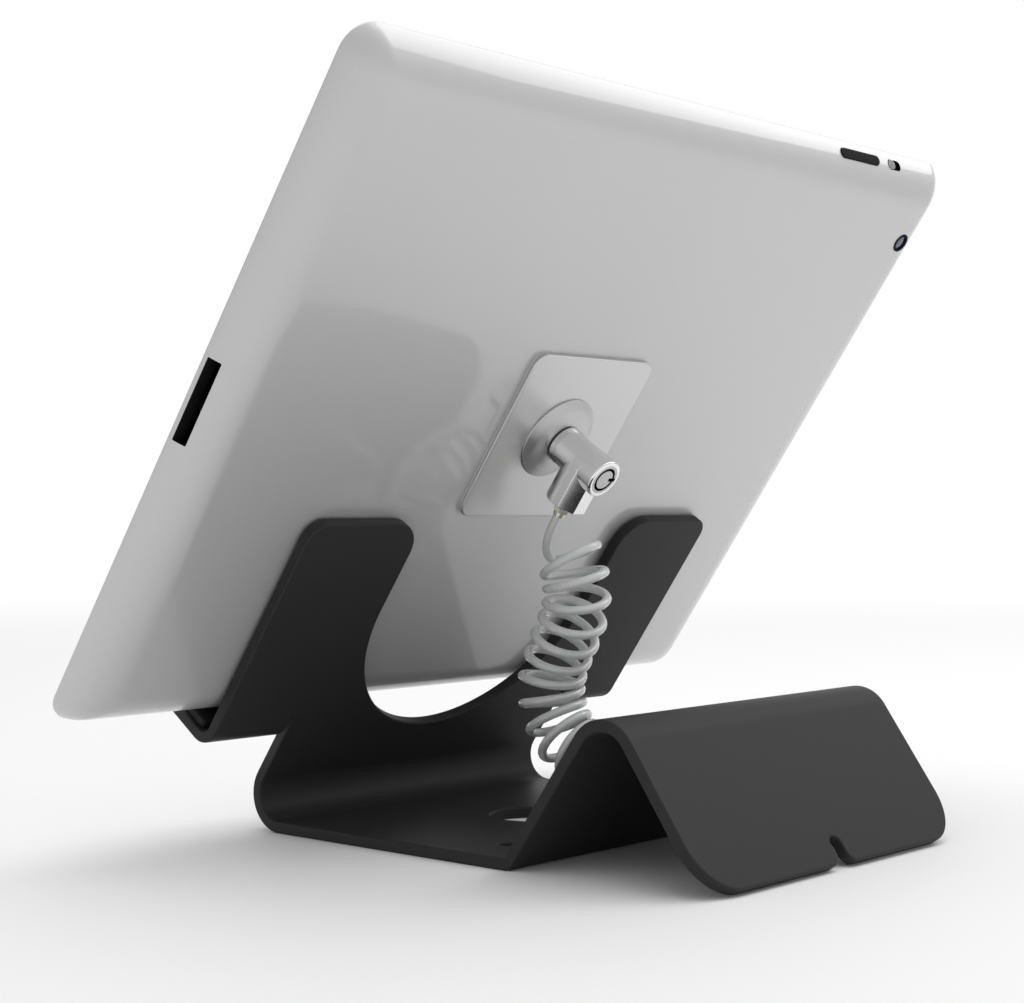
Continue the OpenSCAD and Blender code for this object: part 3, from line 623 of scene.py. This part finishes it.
def finished(name, forms, material):
    """A mesh object from one or more forms. The faces are turned outward."""
    verts, normals, polys = [], [], []
    for points, directions, parts in forms:
        polys += [[len(verts) + i for i in part] for part in parts]
        verts += points
        normals += directions
    mesh = bpy.data.meshes.new(name)
    mesh.from_pydata(verts, [], polys)
    work = bmesh.new()
    work.from_mesh(mesh)
    bmesh.ops.recalc_face_normals(work, faces=work.faces)
    work.to_mesh(mesh)
    work.free()
    mesh.polygons.foreach_set("use_smooth", [True] * len(mesh.polygons))
    mesh.normals_split_custom_set_from_vertices([n.normalized() for n in normals])
    mesh.materials.append(material)
    return link_object(name, mesh)


def arc(x, y, r, a0, a1, n):
    """n + 1 points of an arc, angles in degrees."""
    turns = [math.radians(a0 + (a1 - a0) * i / n) for i in range(n + 1)]
    return [(x + r * math.cos(a), y + r * math.sin(a)) for a in turns]


def circle(x, y, r, n, start=0, turn=360):
    """n points around a circle. turn is -360 for an outline and 360 for a hole."""
    return arc(x, y, r, start, start + turn, n)[:-1]


def rounded(corners, n=8, guard=0.02):
    """Closed outline from corners (x, y, radius). A point close to each end of a round keeps the
    straight sides' normals straight."""
    out = []
    for i, (x, y, r) in enumerate(corners):
        here = Vector((x, y))
        back = (here - Vector(corners[i - 1][:2])).normalized()
        ahead = (Vector(corners[(i + 1) % len(corners)][:2]) - here).normalized()
        turn = math.atan2(back.x * ahead.y - back.y * ahead.x, back.dot(ahead))
        reach = r * math.tan(abs(turn) / 2)
        middle = here - reach * back + math.copysign(r, turn) * Vector((-back.y, back.x))
        start = here - reach * back - middle
        out.append(here - (reach + guard) * back)
        for k in range(n + 1):
            c, s = math.cos(turn * k / n), math.sin(turn * k / n)
            out.append(middle + Vector((c * start.x - s * start.y, s * start.x + c * start.y)))
        out.append(here + (reach + guard) * ahead)
    return out


def box_outline(w, h, r):
    """Rectangle with round corners, its sheet on the right."""
    return rounded([(-w / 2, h / 2, r), (w / 2, h / 2, r), (w / 2, -h / 2, r), (-w / 2, -h / 2, r)])


def unfolded(lie):
    """The fold of a sheet that stays flat. lie takes (x, y, z) to the stand's frame."""
    origin = lie(0, 0, 0)
    axes = [(lie(*step) - origin) / MM for step in ((1, 0, 0), (0, 1, 0), (0, 0, 1))]
    return lambda x, y, z: (lie(x, y, z), *axes)


def flat_form(outline, lie, t, r):
    """A sheet without holes or bends."""
    return sheet_form([outline], [(list(range(len(outline))), [])], unfolded(lie), t, r)


def stacked(count, n):
    """Faces of count points that lie in a stack of rings with n points each, closed at both ends."""
    polys = [list(range(n)), list(range(count - n, count))]
    for i in range(0, count - n, n):
        polys += [(i + k, i + (k + 1) % n, i + n + (k + 1) % n, i + n + k) for k in range(n)]
    return polys


def turned_form(corners, lie, sides=96, n=6):
    """A round piece from its outline (radius, height, rounding), from the lower end to the upper."""
    rows = []
    for i in range(len(corners) - 1):
        a, b = Vector(corners[i][:2]), Vector(corners[i + 1][:2])
        along = (b - a).normalized()
        rows.append((a, b, Vector((along.y, -along.x))))
    ring = [(rows[0][0], rows[0][2])]
    for (_, corner, before), (_, _, after), (_, _, r) in zip(rows, rows[1:], corners[1:-1]):
        half = before.angle(after) / 2
        turn = math.copysign(1, before.x * after.y - before.y * after.x)
        middle = corner - turn * r / math.cos(half) * (before + after).normalized()
        for k in range(n + 1):
            normal = before.slerp(after, k / n)
            ring.append((middle + turn * r * normal, normal))
    ring.append((rows[-1][1], rows[-1][2]))
    verts, normals = [], []
    for at, normal in ring:
        tip = at + normal
        for k in range(sides):
            c, s = math.cos(math.tau * k / sides), math.sin(math.tau * k / sides)
            verts.append(lie(at.x * c, at.x * s, at.y))
            normals.append(lie(tip.x * c, tip.x * s, tip.y) - verts[-1])
    return verts, normals, stacked(len(verts), sides)


print("sheet helpers ready")

# %% [markdown]
# ## Stand
# The flat pattern is a strip that widens into the arms, with a tongue on each side for the
# hooks. Along the strip lie the front bend, the base, the foot bend, the slope, the crest and
# the rear leg. Simple Deform modifiers could bend a flat sheet, but each bend would move the axis
# of the next. Here a fold is a list of straight runs and arcs, and each tongue has its own.

# %% Folds
ARMS_W, ARM_H, HOOK_X, HOOK_FOOT = 162.0, 83.4, 56.3, 18.2
HOOK_R, HOOK_LEDGE, HOOK_LIP = 3.0, 12.0, 7.0
HOOK_Z, SLIT_X = -FRONT_R - HOOK_R, (BASE_W / 2 + HOOK_X) / 2
FRONT_N, FOOT_N, CREST_N, HOOK_N = 40, 14, 36, 14
MID, NEAR = SHEET_T / 2, 1e-9
HOOK_RUN = (HOOK_R + MID) * math.pi / 2
strip_runs = [
    (FRONT_R - MID) * (math.pi - LEAN),
    BASE_FRONT + FOOT_Y,
    (FOOT_R - MID) * LEAN,
    SLOPE_LEN,
    (CREST_R - MID) * 2 * LEAN,
    LEG_LEN,
]
strip_at = [sum(strip_runs[:i]) for i in range(len(strip_runs) + 1)]
hook_runs = [HOOK_RUN, HOOK_LEDGE, HOOK_RUN, HOOK_LIP]
hook_at = [sum(hook_runs[:i]) for i in range(len(hook_runs) + 1)]


def bend_at(centre, radius, angle, turn):
    """Place, direction of travel and the radial direction on an arc. turn is 1 or -1."""
    out = Vector((math.cos(angle), math.sin(angle)))
    return centre + radius * out, turn * Vector((-out.y, out.x)), out


def run_of(f, at, runs):
    """Which run of a fold f lies in, how far into it, and what share of it that is."""
    part = max(i for i in range(len(runs)) if f >= at[i] - NEAR)
    return part, f - at[part], (f - at[part]) / runs[part]


def strip_fold(f, n):
    """(place, travel, up) in the stand's side view, f down the strip and n up from its underside."""
    part, g, share = run_of(f, strip_at, strip_runs)
    hollow_bends = {
        0: (-BASE_FRONT, FRONT_R, 90 + LEAN_DEG, 180 - LEAN_DEG),
        2: (FOOT_Y, FOOT_R, 270, LEAN_DEG),
    }
    if part in hollow_bends:
        y, r, start, swing = hollow_bends[part]
        angle = math.radians(start + swing * share)
        place, travel, out = bend_at(Vector((y, r)), r - n, angle, 1)
        return place, travel, -out
    if part == 1:
        return Vector((g - BASE_FRONT, n)), Vector((1, 0)), Vector((0, 1))
    if part == 3:
        up = Vector((-SIN, COS))
        start = Vector((FOOT_Y, FOOT_R)) - FOOT_R * up
        return start + g * Vector((COS, SIN)) + n * up, Vector((COS, SIN)), up
    crest = Vector((CREST_Y, CREST_Z))
    if part == 4:
        angle = math.radians(90 + LEAN_DEG - 2 * LEAN_DEG * share)
        return bend_at(crest, CREST_R - SHEET_T + n, angle, -1)
    up = Vector((SIN, COS))
    travel = Vector((COS, -SIN))
    return crest + (CREST_R - SHEET_T + n) * up + g * travel, travel, up


def hook_fold(h, n):
    """(place, travel, up) in the plate's side view (y, z), h down the tongue."""
    part, g, share = run_of(h, hook_at, hook_runs)
    far = HOOK_Z - HOOK_LEDGE
    if part == 0:
        return bend_at(Vector((HOOK_FOOT, HOOK_Z)), HOOK_R + n, math.radians(90 + 90 * share), 1)
    if part == 1:
        return Vector((HOOK_FOOT - HOOK_R - n, HOOK_Z - g)), Vector((0, -1)), Vector((-1, 0))
    if part == 2:
        return bend_at(Vector((HOOK_FOOT, far)), HOOK_R + n, math.radians(180 + 90 * share), 1)
    return Vector((HOOK_FOOT + g, far - HOOK_R - n)), Vector((1, 0)), Vector((0, -1))


def stand_fold(x, y, n):
    """From the flat pattern to the stand: y up the plate, negative below the front bend."""
    left = Vector((-1, 0, 0))
    if abs(x) > SLIT_X and y < HOOK_FOOT:
        at, travel, up = hook_fold(HOOK_FOOT - y, n)
        down, lift = (v.x * UP_PLATE + v.y * OUT_OF_BACK for v in (travel, up))
        return on_plate(x, at.x, at.y), left, -down, lift
    if y > 0:
        return on_plate(x, y, n - FRONT_R), left, UP_PLATE, OUT_OF_BACK
    at, travel, up = strip_fold(-y, n)
    place = Vector((-x, at.x, at.y)) * MM
    return place, left, Vector((0, -travel.x, -travel.y)), Vector((0, up.x, up.y))


print("strip", round(strip_at[-1], 1), "mm, tongue", round(hook_at[-1], 1), "mm")

# %% [markdown]
# The outline goes once around one half: up the opening between the arms, around the arm, down the
# tongue and back, along the slit, and down the strip to the notch in the leg. The other half is its
# mirror image. One big face could fill it, but a face can't follow a bend, so each step of a bend
# gets a strip of its own, and only flat parts with holes are split into triangles.

# %% Flat pattern of the stand
OPENING_Y, OPENING_R, ARM_IN_R, ARM_OUT_R, LIP_R, SLIT_Y = 56.0, 42.6, 9.5, 5.5, 4.0, 21.0
LEG_R, LEG_NOTCH_LIP, LEG_NOTCH_R, LEG_NOTCH_H = 13.0, 3.0, 2.2, 5.0
CABLE_R, SCREW_X, SCREW_BACK, SCREW_R, TETHER_HOLE_R = 12.0, 40.0, 25.5, 2.25, 4.0
SHEET_EDGE = 0.5


def levels(at, bends):
    """Places along a fold where the outline needs a point: bends maps a run to its steps."""
    out = [at[0]]
    for i in range(len(at) - 1):
        n = bends.get(i, 1)
        out += [at[i] + (at[i + 1] - at[i]) * k / n for k in range(1, n + 1)]
    return out


def stand_pattern():
    half_w, half_arm, end = BASE_W / 2, ARMS_W / 2, -strip_at[-1]
    arm = [
        *arc(0, OPENING_Y, OPENING_R, -90, 0, 40),
        *arc(OPENING_R + ARM_IN_R, ARM_H - ARM_IN_R, ARM_IN_R, 180, 90, 14),
        *arc(half_arm - ARM_OUT_R, ARM_H - ARM_OUT_R, ARM_OUT_R, 90, 0, 10),
        (half_arm, HOOK_FOOT),
    ]
    rows = levels(hook_at[:-1], {0: HOOK_N, 2: HOOK_N})
    lip = HOOK_FOOT - hook_at[-1]
    tongue = [
        *[(half_arm, HOOK_FOOT - h) for h in rows],
        *arc(half_arm - LIP_R, lip + LIP_R, LIP_R, 0, -90, 10),
        *arc(HOOK_X + LIP_R, lip + LIP_R, LIP_R, -90, -180, 10),
        *[(HOOK_X, HOOK_FOOT - h) for h in reversed(rows)],
    ]
    slit = [(HOOK_X, HOOK_FOOT), (HOOK_X, SLIT_Y), (half_w, SLIT_Y), (half_w, 0)]
    stops = levels(strip_at[:-1], {0: FRONT_N, 2: FOOT_N, 4: CREST_N})
    strip = [(half_w, -f) for f in stops]
    leg = [
        strip[-1],
        *arc(half_w - LEG_R, end + LEG_R, LEG_R, 0, -90, 18),
        *arc(LEG_NOTCH_R + LEG_NOTCH_LIP, end + LEG_NOTCH_LIP, LEG_NOTCH_LIP, -90, -180, 10),
        *arc(0, end + LEG_NOTCH_H, LEG_NOTCH_R, 0, 90, 12),
    ]
    half = arm + tongue[1:] + slit[1:] + strip[1:] + leg[1:]
    a = len(arm) - 1
    b = a + len(tongue) - 1
    c = b + len(slit) - 1
    d = c + len(strip) - 1
    total = 2 * (len(half) - 1)
    loop = half + [(-x, y) for x, y in reversed(half[1:-1])]

    def mirror(ids):
        return [(total - i) % total for i in reversed(ids)]

    cable_y = -strip_at[1] - BASE_FRONT
    holes = {
        "cable": circle(0, cable_y, CABLE_R, 64),
        "screw_a": circle(SCREW_X, cable_y - SCREW_BACK, SCREW_R, 32),
        "screw_b": circle(-SCREW_X, cable_y - SCREW_BACK, SCREW_R, 32),
        "tether": circle(0, -strip_at[3] - TETHER_HOLE_Y, TETHER_HOLE_R, 32),
    }
    ids, first = {}, len(loop)
    for name, hole in holes.items():
        ids[name] = list(range(first, first + len(hole)))
        first += len(hole)
    outer = [*range(a + 1), *range(b, c + 1)]
    faces = [(outer + mirror(outer)[:-1], [])]
    n = len(rows)
    for k in range(n - 1):
        quad = [a + k, a + k + 1, b - k - 1, b - k]
        faces += [(quad, []), (mirror(quad), [])]
    end_of_hook = list(range(a + n - 1, b - n + 2))
    faces += [(end_of_hook, []), (mirror(end_of_hook), [])]
    for k in range(len(stops) - 1):
        right = [c + k, c + k + 1]
        inside = []
        if k == FRONT_N:
            inside = [ids["cable"], ids["screw_a"], ids["screw_b"]]
        if k == FRONT_N + 1 + FOOT_N:
            inside = [ids["tether"]]
        faces.append((right + mirror(right), inside))
    foot = list(range(d, len(half)))
    faces.append((foot + mirror(foot)[1:], []))
    return [loop, *holes.values()], faces


def placed(piece, body, node):
    """Hands a finished piece to its body, in the place of a CAD node."""
    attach(piece, body)
    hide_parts(node)
    print(piece.name + ":", len(piece.data.vertices), "vertices")


loops, faces = stand_pattern()
body = sheet_form(loops, faces, stand_fold, SHEET_T, SHEET_EDGE, steps=4)
stand = finished("stand_body", [body], paints["stand_paint"])
placed(stand, "stand", "stand_sheet")

# %% [markdown]
# ## Pads
# Rubber keeps the tablet off the paint: a thick pad in each hook and a thin one on each arm. A
# cube with a Bevel modifier would do, but it rounds all edges alike. Real pads are cut from a sheet
# and have wide corners and small edges, so the helper for flat sheets makes them.

# %% Pads
LEDGE_PAD, LEDGE_T, LEDGE_EDGE, LEDGE_AT = (22.7, 12.0, 1.2), 2.3, 0.6, (68.65, 15.2, -19.0)
ARM_PAD, ARM_PAD_T, ARM_PAD_EDGE, ARM_AT = (22.0, 40.0, 4.0), 0.5, 0.15, (61.8, 54.0, -10.5)


def on_ledge(side):
    """A ledge's pad lies across its hook, so its thickness goes up the plate."""
    x0, y0, z0 = LEDGE_AT
    return lambda x, y, z: on_plate(side * x0 + x, y0 + z, z0 + y)


def on_arm(side):
    x0, y0, z0 = ARM_AT
    return lambda x, y, z: on_plate(side * x0 + x, y0 + y, z0 + z)


for name, node, outline, lie, t, edge in (
    ("hook_cushions", "ledge_pads", LEDGE_PAD, on_ledge, LEDGE_T, LEDGE_EDGE),
    ("arm_cushions", "arm_pads", ARM_PAD, on_arm, ARM_PAD_T, ARM_PAD_EDGE),
):
    forms = [flat_form(box_outline(*outline), lie(side), t, edge) for side in (-1, 1)]
    placed(finished(name, forms, paints["pad_rubber"]), "stand", node)

# %% [markdown]
# ## Tablet's shell
# The back is a shallow tray. Its edge rises from a thin rim in one arc to the flat, and around
# the corners the outline grows tighter as it rises. Crossing two extrusions would leave a hard
# mitre there, so the shell is a stack of rings instead, and the normals follow from the arc.

# %% Rings of the shell
EDGE_IN, EDGE_R, RIM_H, RIM_LOW = 12.5, 13.627, 1.2, 0.5
EDGE_Z = TABLET_T - EDGE_R
CORNER_R, TIGHTER = 7.5, 0.4
CORNER_N, SIDE_N, EDGE_N = 14, 32, 24
TRAY_STEPS = ((11.5, 3, 8.4, 3), (3.5, 1.3, 3, 4), (1, RIM_LOW, 1.3, 6.5))


def shell_ring(inset, r):
    """Places and outward directions around the tablet, at an inset from its rim."""
    w, h = TABLET_W / 2 - inset - r, TABLET_H / 2 - inset - r
    middles = [Vector((w, h)), Vector((-w, h)), Vector((-w, -h)), Vector((w, -h))]
    for q, middle in enumerate(middles):
        for k in range(CORNER_N + SIDE_N):
            a = math.radians(90 * (q + min(1, k / CORNER_N)))
            c, s = math.cos(a), math.sin(a)
            at = middle.lerp(middles[(q + 1) % 4], max(0, (k - CORNER_N) / SIDE_N))
            yield at.x + r * c, at.y + r * s, c, s


def tray_rows(bevel=0.1):
    """Rows of the inside, from its ceiling out to the rim: (inset, height, corner, out, up). Each
    step of the tray is (inset, lower height, upper height, corner)."""
    rows = []
    for inset, low, high, r in TRAY_STEPS:
        rows += [(inset + bevel, high, r, 0, -1), (inset, high - bevel, r, -1, 0)]
        rows += [(inset, low + bevel, r, -1, 0), (inset - bevel, low, r, 0, -1)]
    rim = [(bevel, RIM_LOW, CORNER_R - bevel, 0, -1), (0, RIM_LOW + bevel, CORNER_R, 1, 0)]
    return rows + rim


def shell_form():
    verts, normals = [], []
    for inset, z, r, out, up in tray_rows():
        for x, y, c, s in shell_ring(inset, r):
            verts.append(on_tablet(x, y, z))
            normals.append(on_tablet(x + out * c, y + out * s, z + up) - verts[-1])
    start = math.asin((RIM_H - EDGE_Z) / EDGE_R)
    for k in range(EDGE_N + 1):
        a = start + (math.pi / 2 - start) * k / EDGE_N
        inset, z = EDGE_IN - EDGE_R * math.cos(a), EDGE_Z + EDGE_R * math.sin(a)
        for x, y, c, s in shell_ring(inset, CORNER_R - TIGHTER * inset):
            up = math.sin(a) * ((1 - TIGHTER) * (abs(c) + abs(s)) + TIGHTER)
            verts.append(on_tablet(x, y, z))
            normals.append(on_tablet(x + math.cos(a) * c, y + math.cos(a) * s, z + up) - verts[-1])
    return verts, normals, stacked(len(verts), 4 * (CORNER_N + SIDE_N))


shell_shape = shell_form()
print("shell:", len(shell_shape[0]), "points before the cuts")

# %% [markdown]
# The keys sit in pockets along the curved edge, and the dock, the jack and the camera have holes of
# their own. The rings have no room for them, so they are cut with a Boolean modifier. It drops the
# exact normals, and the edge would look dented around each hole. So each corner that is left of the
# first surface looks its normal up there.

# %% Openings of the shell
KEY_TILT = math.radians(40)
KEY_COS, KEY_SIN = math.cos(KEY_TILT), math.sin(KEY_TILT)
KEY_W, KEY_ROUND, KEY_CUT, CUT_EDGE, PAST = 3.1, 1.5, 3, 0.05, 1
VOLUME, MUTE, POWER = (72.6, 19.9, 1.6), (91.0, 6.8, 1.2), (72.35, 12.3, 1.6)
DOCK, DOCK_Z = (22, 2.9, 0.3), 3.25
JACK_R, JACK_Y, JACK_Z = 2.4, -73.85, 4
CAMERA_R, CAMERA_X, CAMERA_Y, CAMERA_Z, CAMERA_CUT = 2.85, 108, 70.05, 6.4, 4


def on_top_edge(middle):
    """Frame of a key in the upper edge: z out along the arc's radius."""
    y0 = TABLET_H / 2 - EDGE_IN
    return lambda x, y, z: on_tablet(
        middle + x, y0 + y * KEY_SIN + z * KEY_COS, EDGE_Z - y * KEY_COS + z * KEY_SIN
    )


def on_side_edge(middle):
    x0 = TABLET_W / 2 - EDGE_IN
    return lambda x, y, z: on_tablet(
        x0 - y * KEY_SIN + z * KEY_COS, middle + x, EDGE_Z + y * KEY_COS + z * KEY_SIN
    )


def raised(lie, z0):
    return lambda x, y, z: lie(x, y, z0 + z)


def openings():
    """Cutters: three key pockets, each (place along the edge, length, depth), then the dock, the
    jack and the camera's hole."""
    cutters = []
    for edge, (middle, length, depth) in (
        (on_top_edge, VOLUME), (on_top_edge, MUTE), (on_side_edge, POWER),
    ):  # fmt: skip
        lie = raised(edge(middle), EDGE_R - depth)
        cutters.append(flat_form(box_outline(length, KEY_W, KEY_ROUND), lie, KEY_CUT, CUT_EDGE))
    side = TABLET_W / 2

    def in_dock(x, y, z):
        return on_tablet(z - side - PAST, x, DOCK_Z + y)

    def in_jack(x, y, z):
        return on_tablet(side - EDGE_IN + z, JACK_Y + x, JACK_Z + y)

    def in_camera(x, y, z):
        return on_tablet(CAMERA_X + x, CAMERA_Y + y, CAMERA_Z + z)

    cutters.append(flat_form(box_outline(*DOCK), in_dock, PAST + EDGE_IN, CUT_EDGE))
    cutters.append(flat_form(circle(0, 0, JACK_R, 40, turn=-360), in_jack, EDGE_IN + PAST, CUT_EDGE))
    cutters.append(flat_form(circle(0, 0, CAMERA_R, 48, turn=-360), in_camera, CAMERA_CUT, CUT_EDGE))
    return cutters


def cut(piece, shape, tool):
    """Takes the tool out of the piece. Faces left of the first shape keep that shape's normals."""
    points, directions, parts = shape
    tree = BVHTree.FromPolygons(points, parts)
    modifier = piece.modifiers.new("cut", "BOOLEAN")
    modifier.object = tool
    modifier.solver = "EXACT"
    modifier.material_mode = "TRANSFER"
    mesh = settled(piece, modifier)
    bpy.data.meshes.remove(tool.data)
    normals = []
    for face in mesh.polygons:
        for i in face.vertices:
            normal = face.normal
            if face.material_index == 0:
                at, _, part, _ = tree.find_nearest(mesh.vertices[i].co)
                weights = poly_3d_calc([points[j] for j in parts[part]], at)
                normal = sum((w * directions[j] for w, j in zip(weights, parts[part])), Vector())
            normals.append(normal.normalized())
    mesh.normals_split_custom_set(normals)
    return piece


shell = finished("tablet_shell", [shell_shape], paints["shell_aluminium"])
shell = cut(shell, shell_shape, finished("cutters", openings(), paints["black_plastic"]))
placed(shell, "tablet", "rear_shell")

# %% [markdown]
# ## Plate and lock
# The bonded plate is a stamped square with soft edges, and the saucer on it is turned. The lock's
# barrel is turned as well, and a boss with an eight-sided front and a round back hangs from it.
# Primitives with Bevel modifiers would need one modifier for each radius. A list of corners, each
# with its own radius, says the same in one place, and its normals are exact.

# %% Plate, saucer and lock
PLATE, PLATE_T, PLATE_EDGE, PLATE_SIDE, PLATE_DROP = (48, 50, 4), 1.0, 0.4, 0.8, 0.4
PAD, PAD_T, PAD_EDGE = (47.8, 49.8, 3.9), 0.5, 0.05
LOCK_TOP, BOSS_HALF, BOSS_SOFT, BOSS_ROUND, BOSS_EDGE = 21.2, 5.5, 0.25, 5.4, 0.3


def on_bonded(x, y, z):
    return on_lock(x + PLATE_SIDE, y - PLATE_DROP, z + PAD_T)


def on_boss(x, y, z):
    """The boss points down the tablet, so its cross-section lies in the lock's x and z."""
    return on_lock(x, -z, BOSS_Z + y)


def boss_outline():
    flat, half = BOSS_HALF * math.tan(math.pi / 8), BOSS_HALF
    front = [(-half, flat), (-flat, half), (flat, half), (half, flat)]
    corners = [(x, y, BOSS_SOFT) for x, y in front]
    return rounded(corners + [(half, -half, BOSS_ROUND), (-half, -half, BOSS_ROUND)], n=12)


plate = flat_form(box_outline(*PLATE), on_bonded, PLATE_T, PLATE_EDGE)
pad = flat_form(box_outline(*PAD), raised(on_bonded, -PAD_T), PAD_T, PAD_EDGE)
saucer = turned_form(
    [(2, 1.5, 0), (12.15, 1.5, 0.05), (12.15, 1.95, 0.3), (9.5, 3.2, 8), (6.5, 4.05, 12), (2, 4.5, 0)],
    on_lock,
)
barrel = turned_form(
    [
        (2, 4.6, 0), (5.4, 4.6, 0.12), (5.4, LOCK_TOP, 0.6), (4.2, LOCK_TOP, 0.03),
        (4.2, 19, 0.03), (1, 19, 0),
    ],
    on_lock,
)  # fmt: skip
boss = flat_form(boss_outline(), on_boss, BOSS_LEN, BOSS_EDGE)
for name, forms, finish, node, slot in (
    ("bonded_plate", [plate], "plate_aluminium", "security_plate", "plate_aluminium"),
    ("bonding_pad", [pad], "adhesive", "plate_adhesive", "adhesive"),
    ("saucer", [saucer], "saucer_satin", "lock_dome", "lock_chrome"),
    ("lock_case", [barrel, boss], "lock_chrome", "lock_body", "lock_chrome"),
):
    placed(finished(name, forms, paints[finish]), "tablet", node)

# %% [markdown]
# The lock takes a round key: its core shows a ring-shaped keyway with one notch, and it makes a
# quarter turn. Dark paint could draw the ring, but a real groove keeps its shadow in every view, so
# it is cut into the core. The cutters' points lie beside the core's own, because a Boolean can
# leave gaps where points meet exactly.

# %% Key's face
KEYWAY_Z, KEYWAY_OUT, KEYWAY_IN, KEYWAY_CUT, FINE_EDGE = 16.3, 3.5, 2.75, 6, 0.02
KEY_NOTCH, KEY_NOTCH_X, KEY_NOTCH_UP = (2.6, 1.0, 0.1), 2.8, 0.3
CORE_R, CORE_Z = 4.19, 15


def ring_form(outer, inner, lie, t, n=46, start=2):
    """A flat ring with square edges, its points beside those of the piece it cuts."""
    loops = [circle(0, 0, outer, n, start, -360), circle(0, 0, inner, n, start)]
    faces = [([i, (i + 1) % n, n + (n - i - 1) % n, n + (n - i) % n], []) for i in range(n)]
    return sheet_form(loops, faces, unfolded(lie), t, FINE_EDGE)


def on_notch(x, y, z):
    return on_lock(KEY_NOTCH_X + x, y, KEYWAY_Z + KEY_NOTCH_UP + z)


core = turned_form(
    [(1, CORE_Z, 0), (CORE_R, CORE_Z, 0.03), (CORE_R, LOCK_TOP, 0.05), (1, LOCK_TOP, 0)], on_lock
)
key_face = finished("key_face", [core], paints["lock_steel"])
keyway = ring_form(KEYWAY_OUT, KEYWAY_IN, raised(on_lock, KEYWAY_Z), KEYWAY_CUT)
notch = flat_form(box_outline(*KEY_NOTCH), on_notch, KEYWAY_CUT, FINE_EDGE)
for name, tool in (("keyway", keyway), ("notch", notch)):
    key_face = cut(key_face, core, finished(name, [tool], paints["black_plastic"]))
placed(key_face, "key", "key_core")

# %% [markdown]
# ## Stage and light
# The object stands on a plain pale floor. Far from it the floor fades to the tone that the sky
# has in the same direction, so that the two meet without a line. A backdrop that curves up would do
# the same for one view, but not for a look from behind.

# %% Floor
WALL_EDGE, WALL_DIM = (0.6, 0.92), 0.68
FLOOR_R, FLOOR_N, FADE = 8, 64, (0.3, 1.4)


def sky_tone(ahead):
    """Brightness of the sky, from how far a direction points along the camera's view."""
    return WALL_DIM + (1 - WALL_DIM) * ahead.step(*WALL_EDGE)


def floor_material():
    net = Net("floor")
    x, y = net.axis("X"), net.axis("Y")
    away = (x * x + y * y) ** 0.5
    surface = net.surface(
        Base_Color=net.tint(net.noise(3, 2), (0.87, 0.87, 0.87), (0.89, 0.89, 0.89)),
        Roughness=0.6,
        Specular_IOR_Level=0.1,
    )
    ahead = (x * VIEW_DIRECTION[0] + y * VIEW_DIRECTION[1]) / away
    glow = net.surface(
        Base_Color=(0, 0, 0, 1),
        Specular_IOR_Level=0.0,
        Emission_Color=sky_tone(ahead),
        Emission_Strength=1.0,
    )
    fade = {0: away.step(*FADE), 1: surface, 2: glow}
    return net.show(net.node("ShaderNodeMixShader", None, fade))


ground = bpy.data.meshes.new("floor")
turns = [math.tau * k / FLOOR_N for k in range(FLOOR_N)]
rim = [(FLOOR_R * math.cos(a), FLOOR_R * math.sin(a), 0) for a in turns]
ground.from_pydata(rim, [], [list(range(FLOOR_N))])
ground.materials.append(floor_material())
floor = link_object("floor", ground)
print("floor radius", FLOOR_R, "m")

# %% [markdown]
# A wide soft lamp hangs overhead, and a smaller one lights the edges on the far side. The sky is a
# white wall beyond the object, as the camera looks at it, and dimmer elsewhere. A sky that is white
# all around would be simpler, but the dark paint would mirror it and turn grey.

# %% Lights
LAMPS = (
    ("overhead", (-0.1, 0.1, 1.3), (0, 0.05, 0.1), 1.4, 7.4),
    ("right_high", (-0.9, 0.45, 0.95), (0, 0.05, 0.15), 0.8, 3.6),
)


def soft_lamp(name, place, target, side, power):
    lamp = bpy.data.lights.new(name, "AREA")
    lamp.shape = "RECTANGLE"
    lamp.size = lamp.size_y = side
    lamp.energy = power
    aimed(name, lamp, place, Vector(target) - Vector(place))


for lamp in LAMPS:
    soft_lamp(*lamp)
net = Net("studio", bpy.data.worlds.new("studio"), "Generated")
toward = {0: net.place, 1: VIEW_DIRECTION}
ahead = net.node("ShaderNodeVectorMath", {"operation": "DOT_PRODUCT"}, toward, out="Value")
sky = net.node("ShaderNodeBackground", None, {"Color": (1, 1, 1, 1), "Strength": sky_tone(ahead)})
bpy.context.scene.world = net.show(sky, "ShaderNodeOutputWorld")
bpy.context.scene.view_settings.view_transform = "Standard"
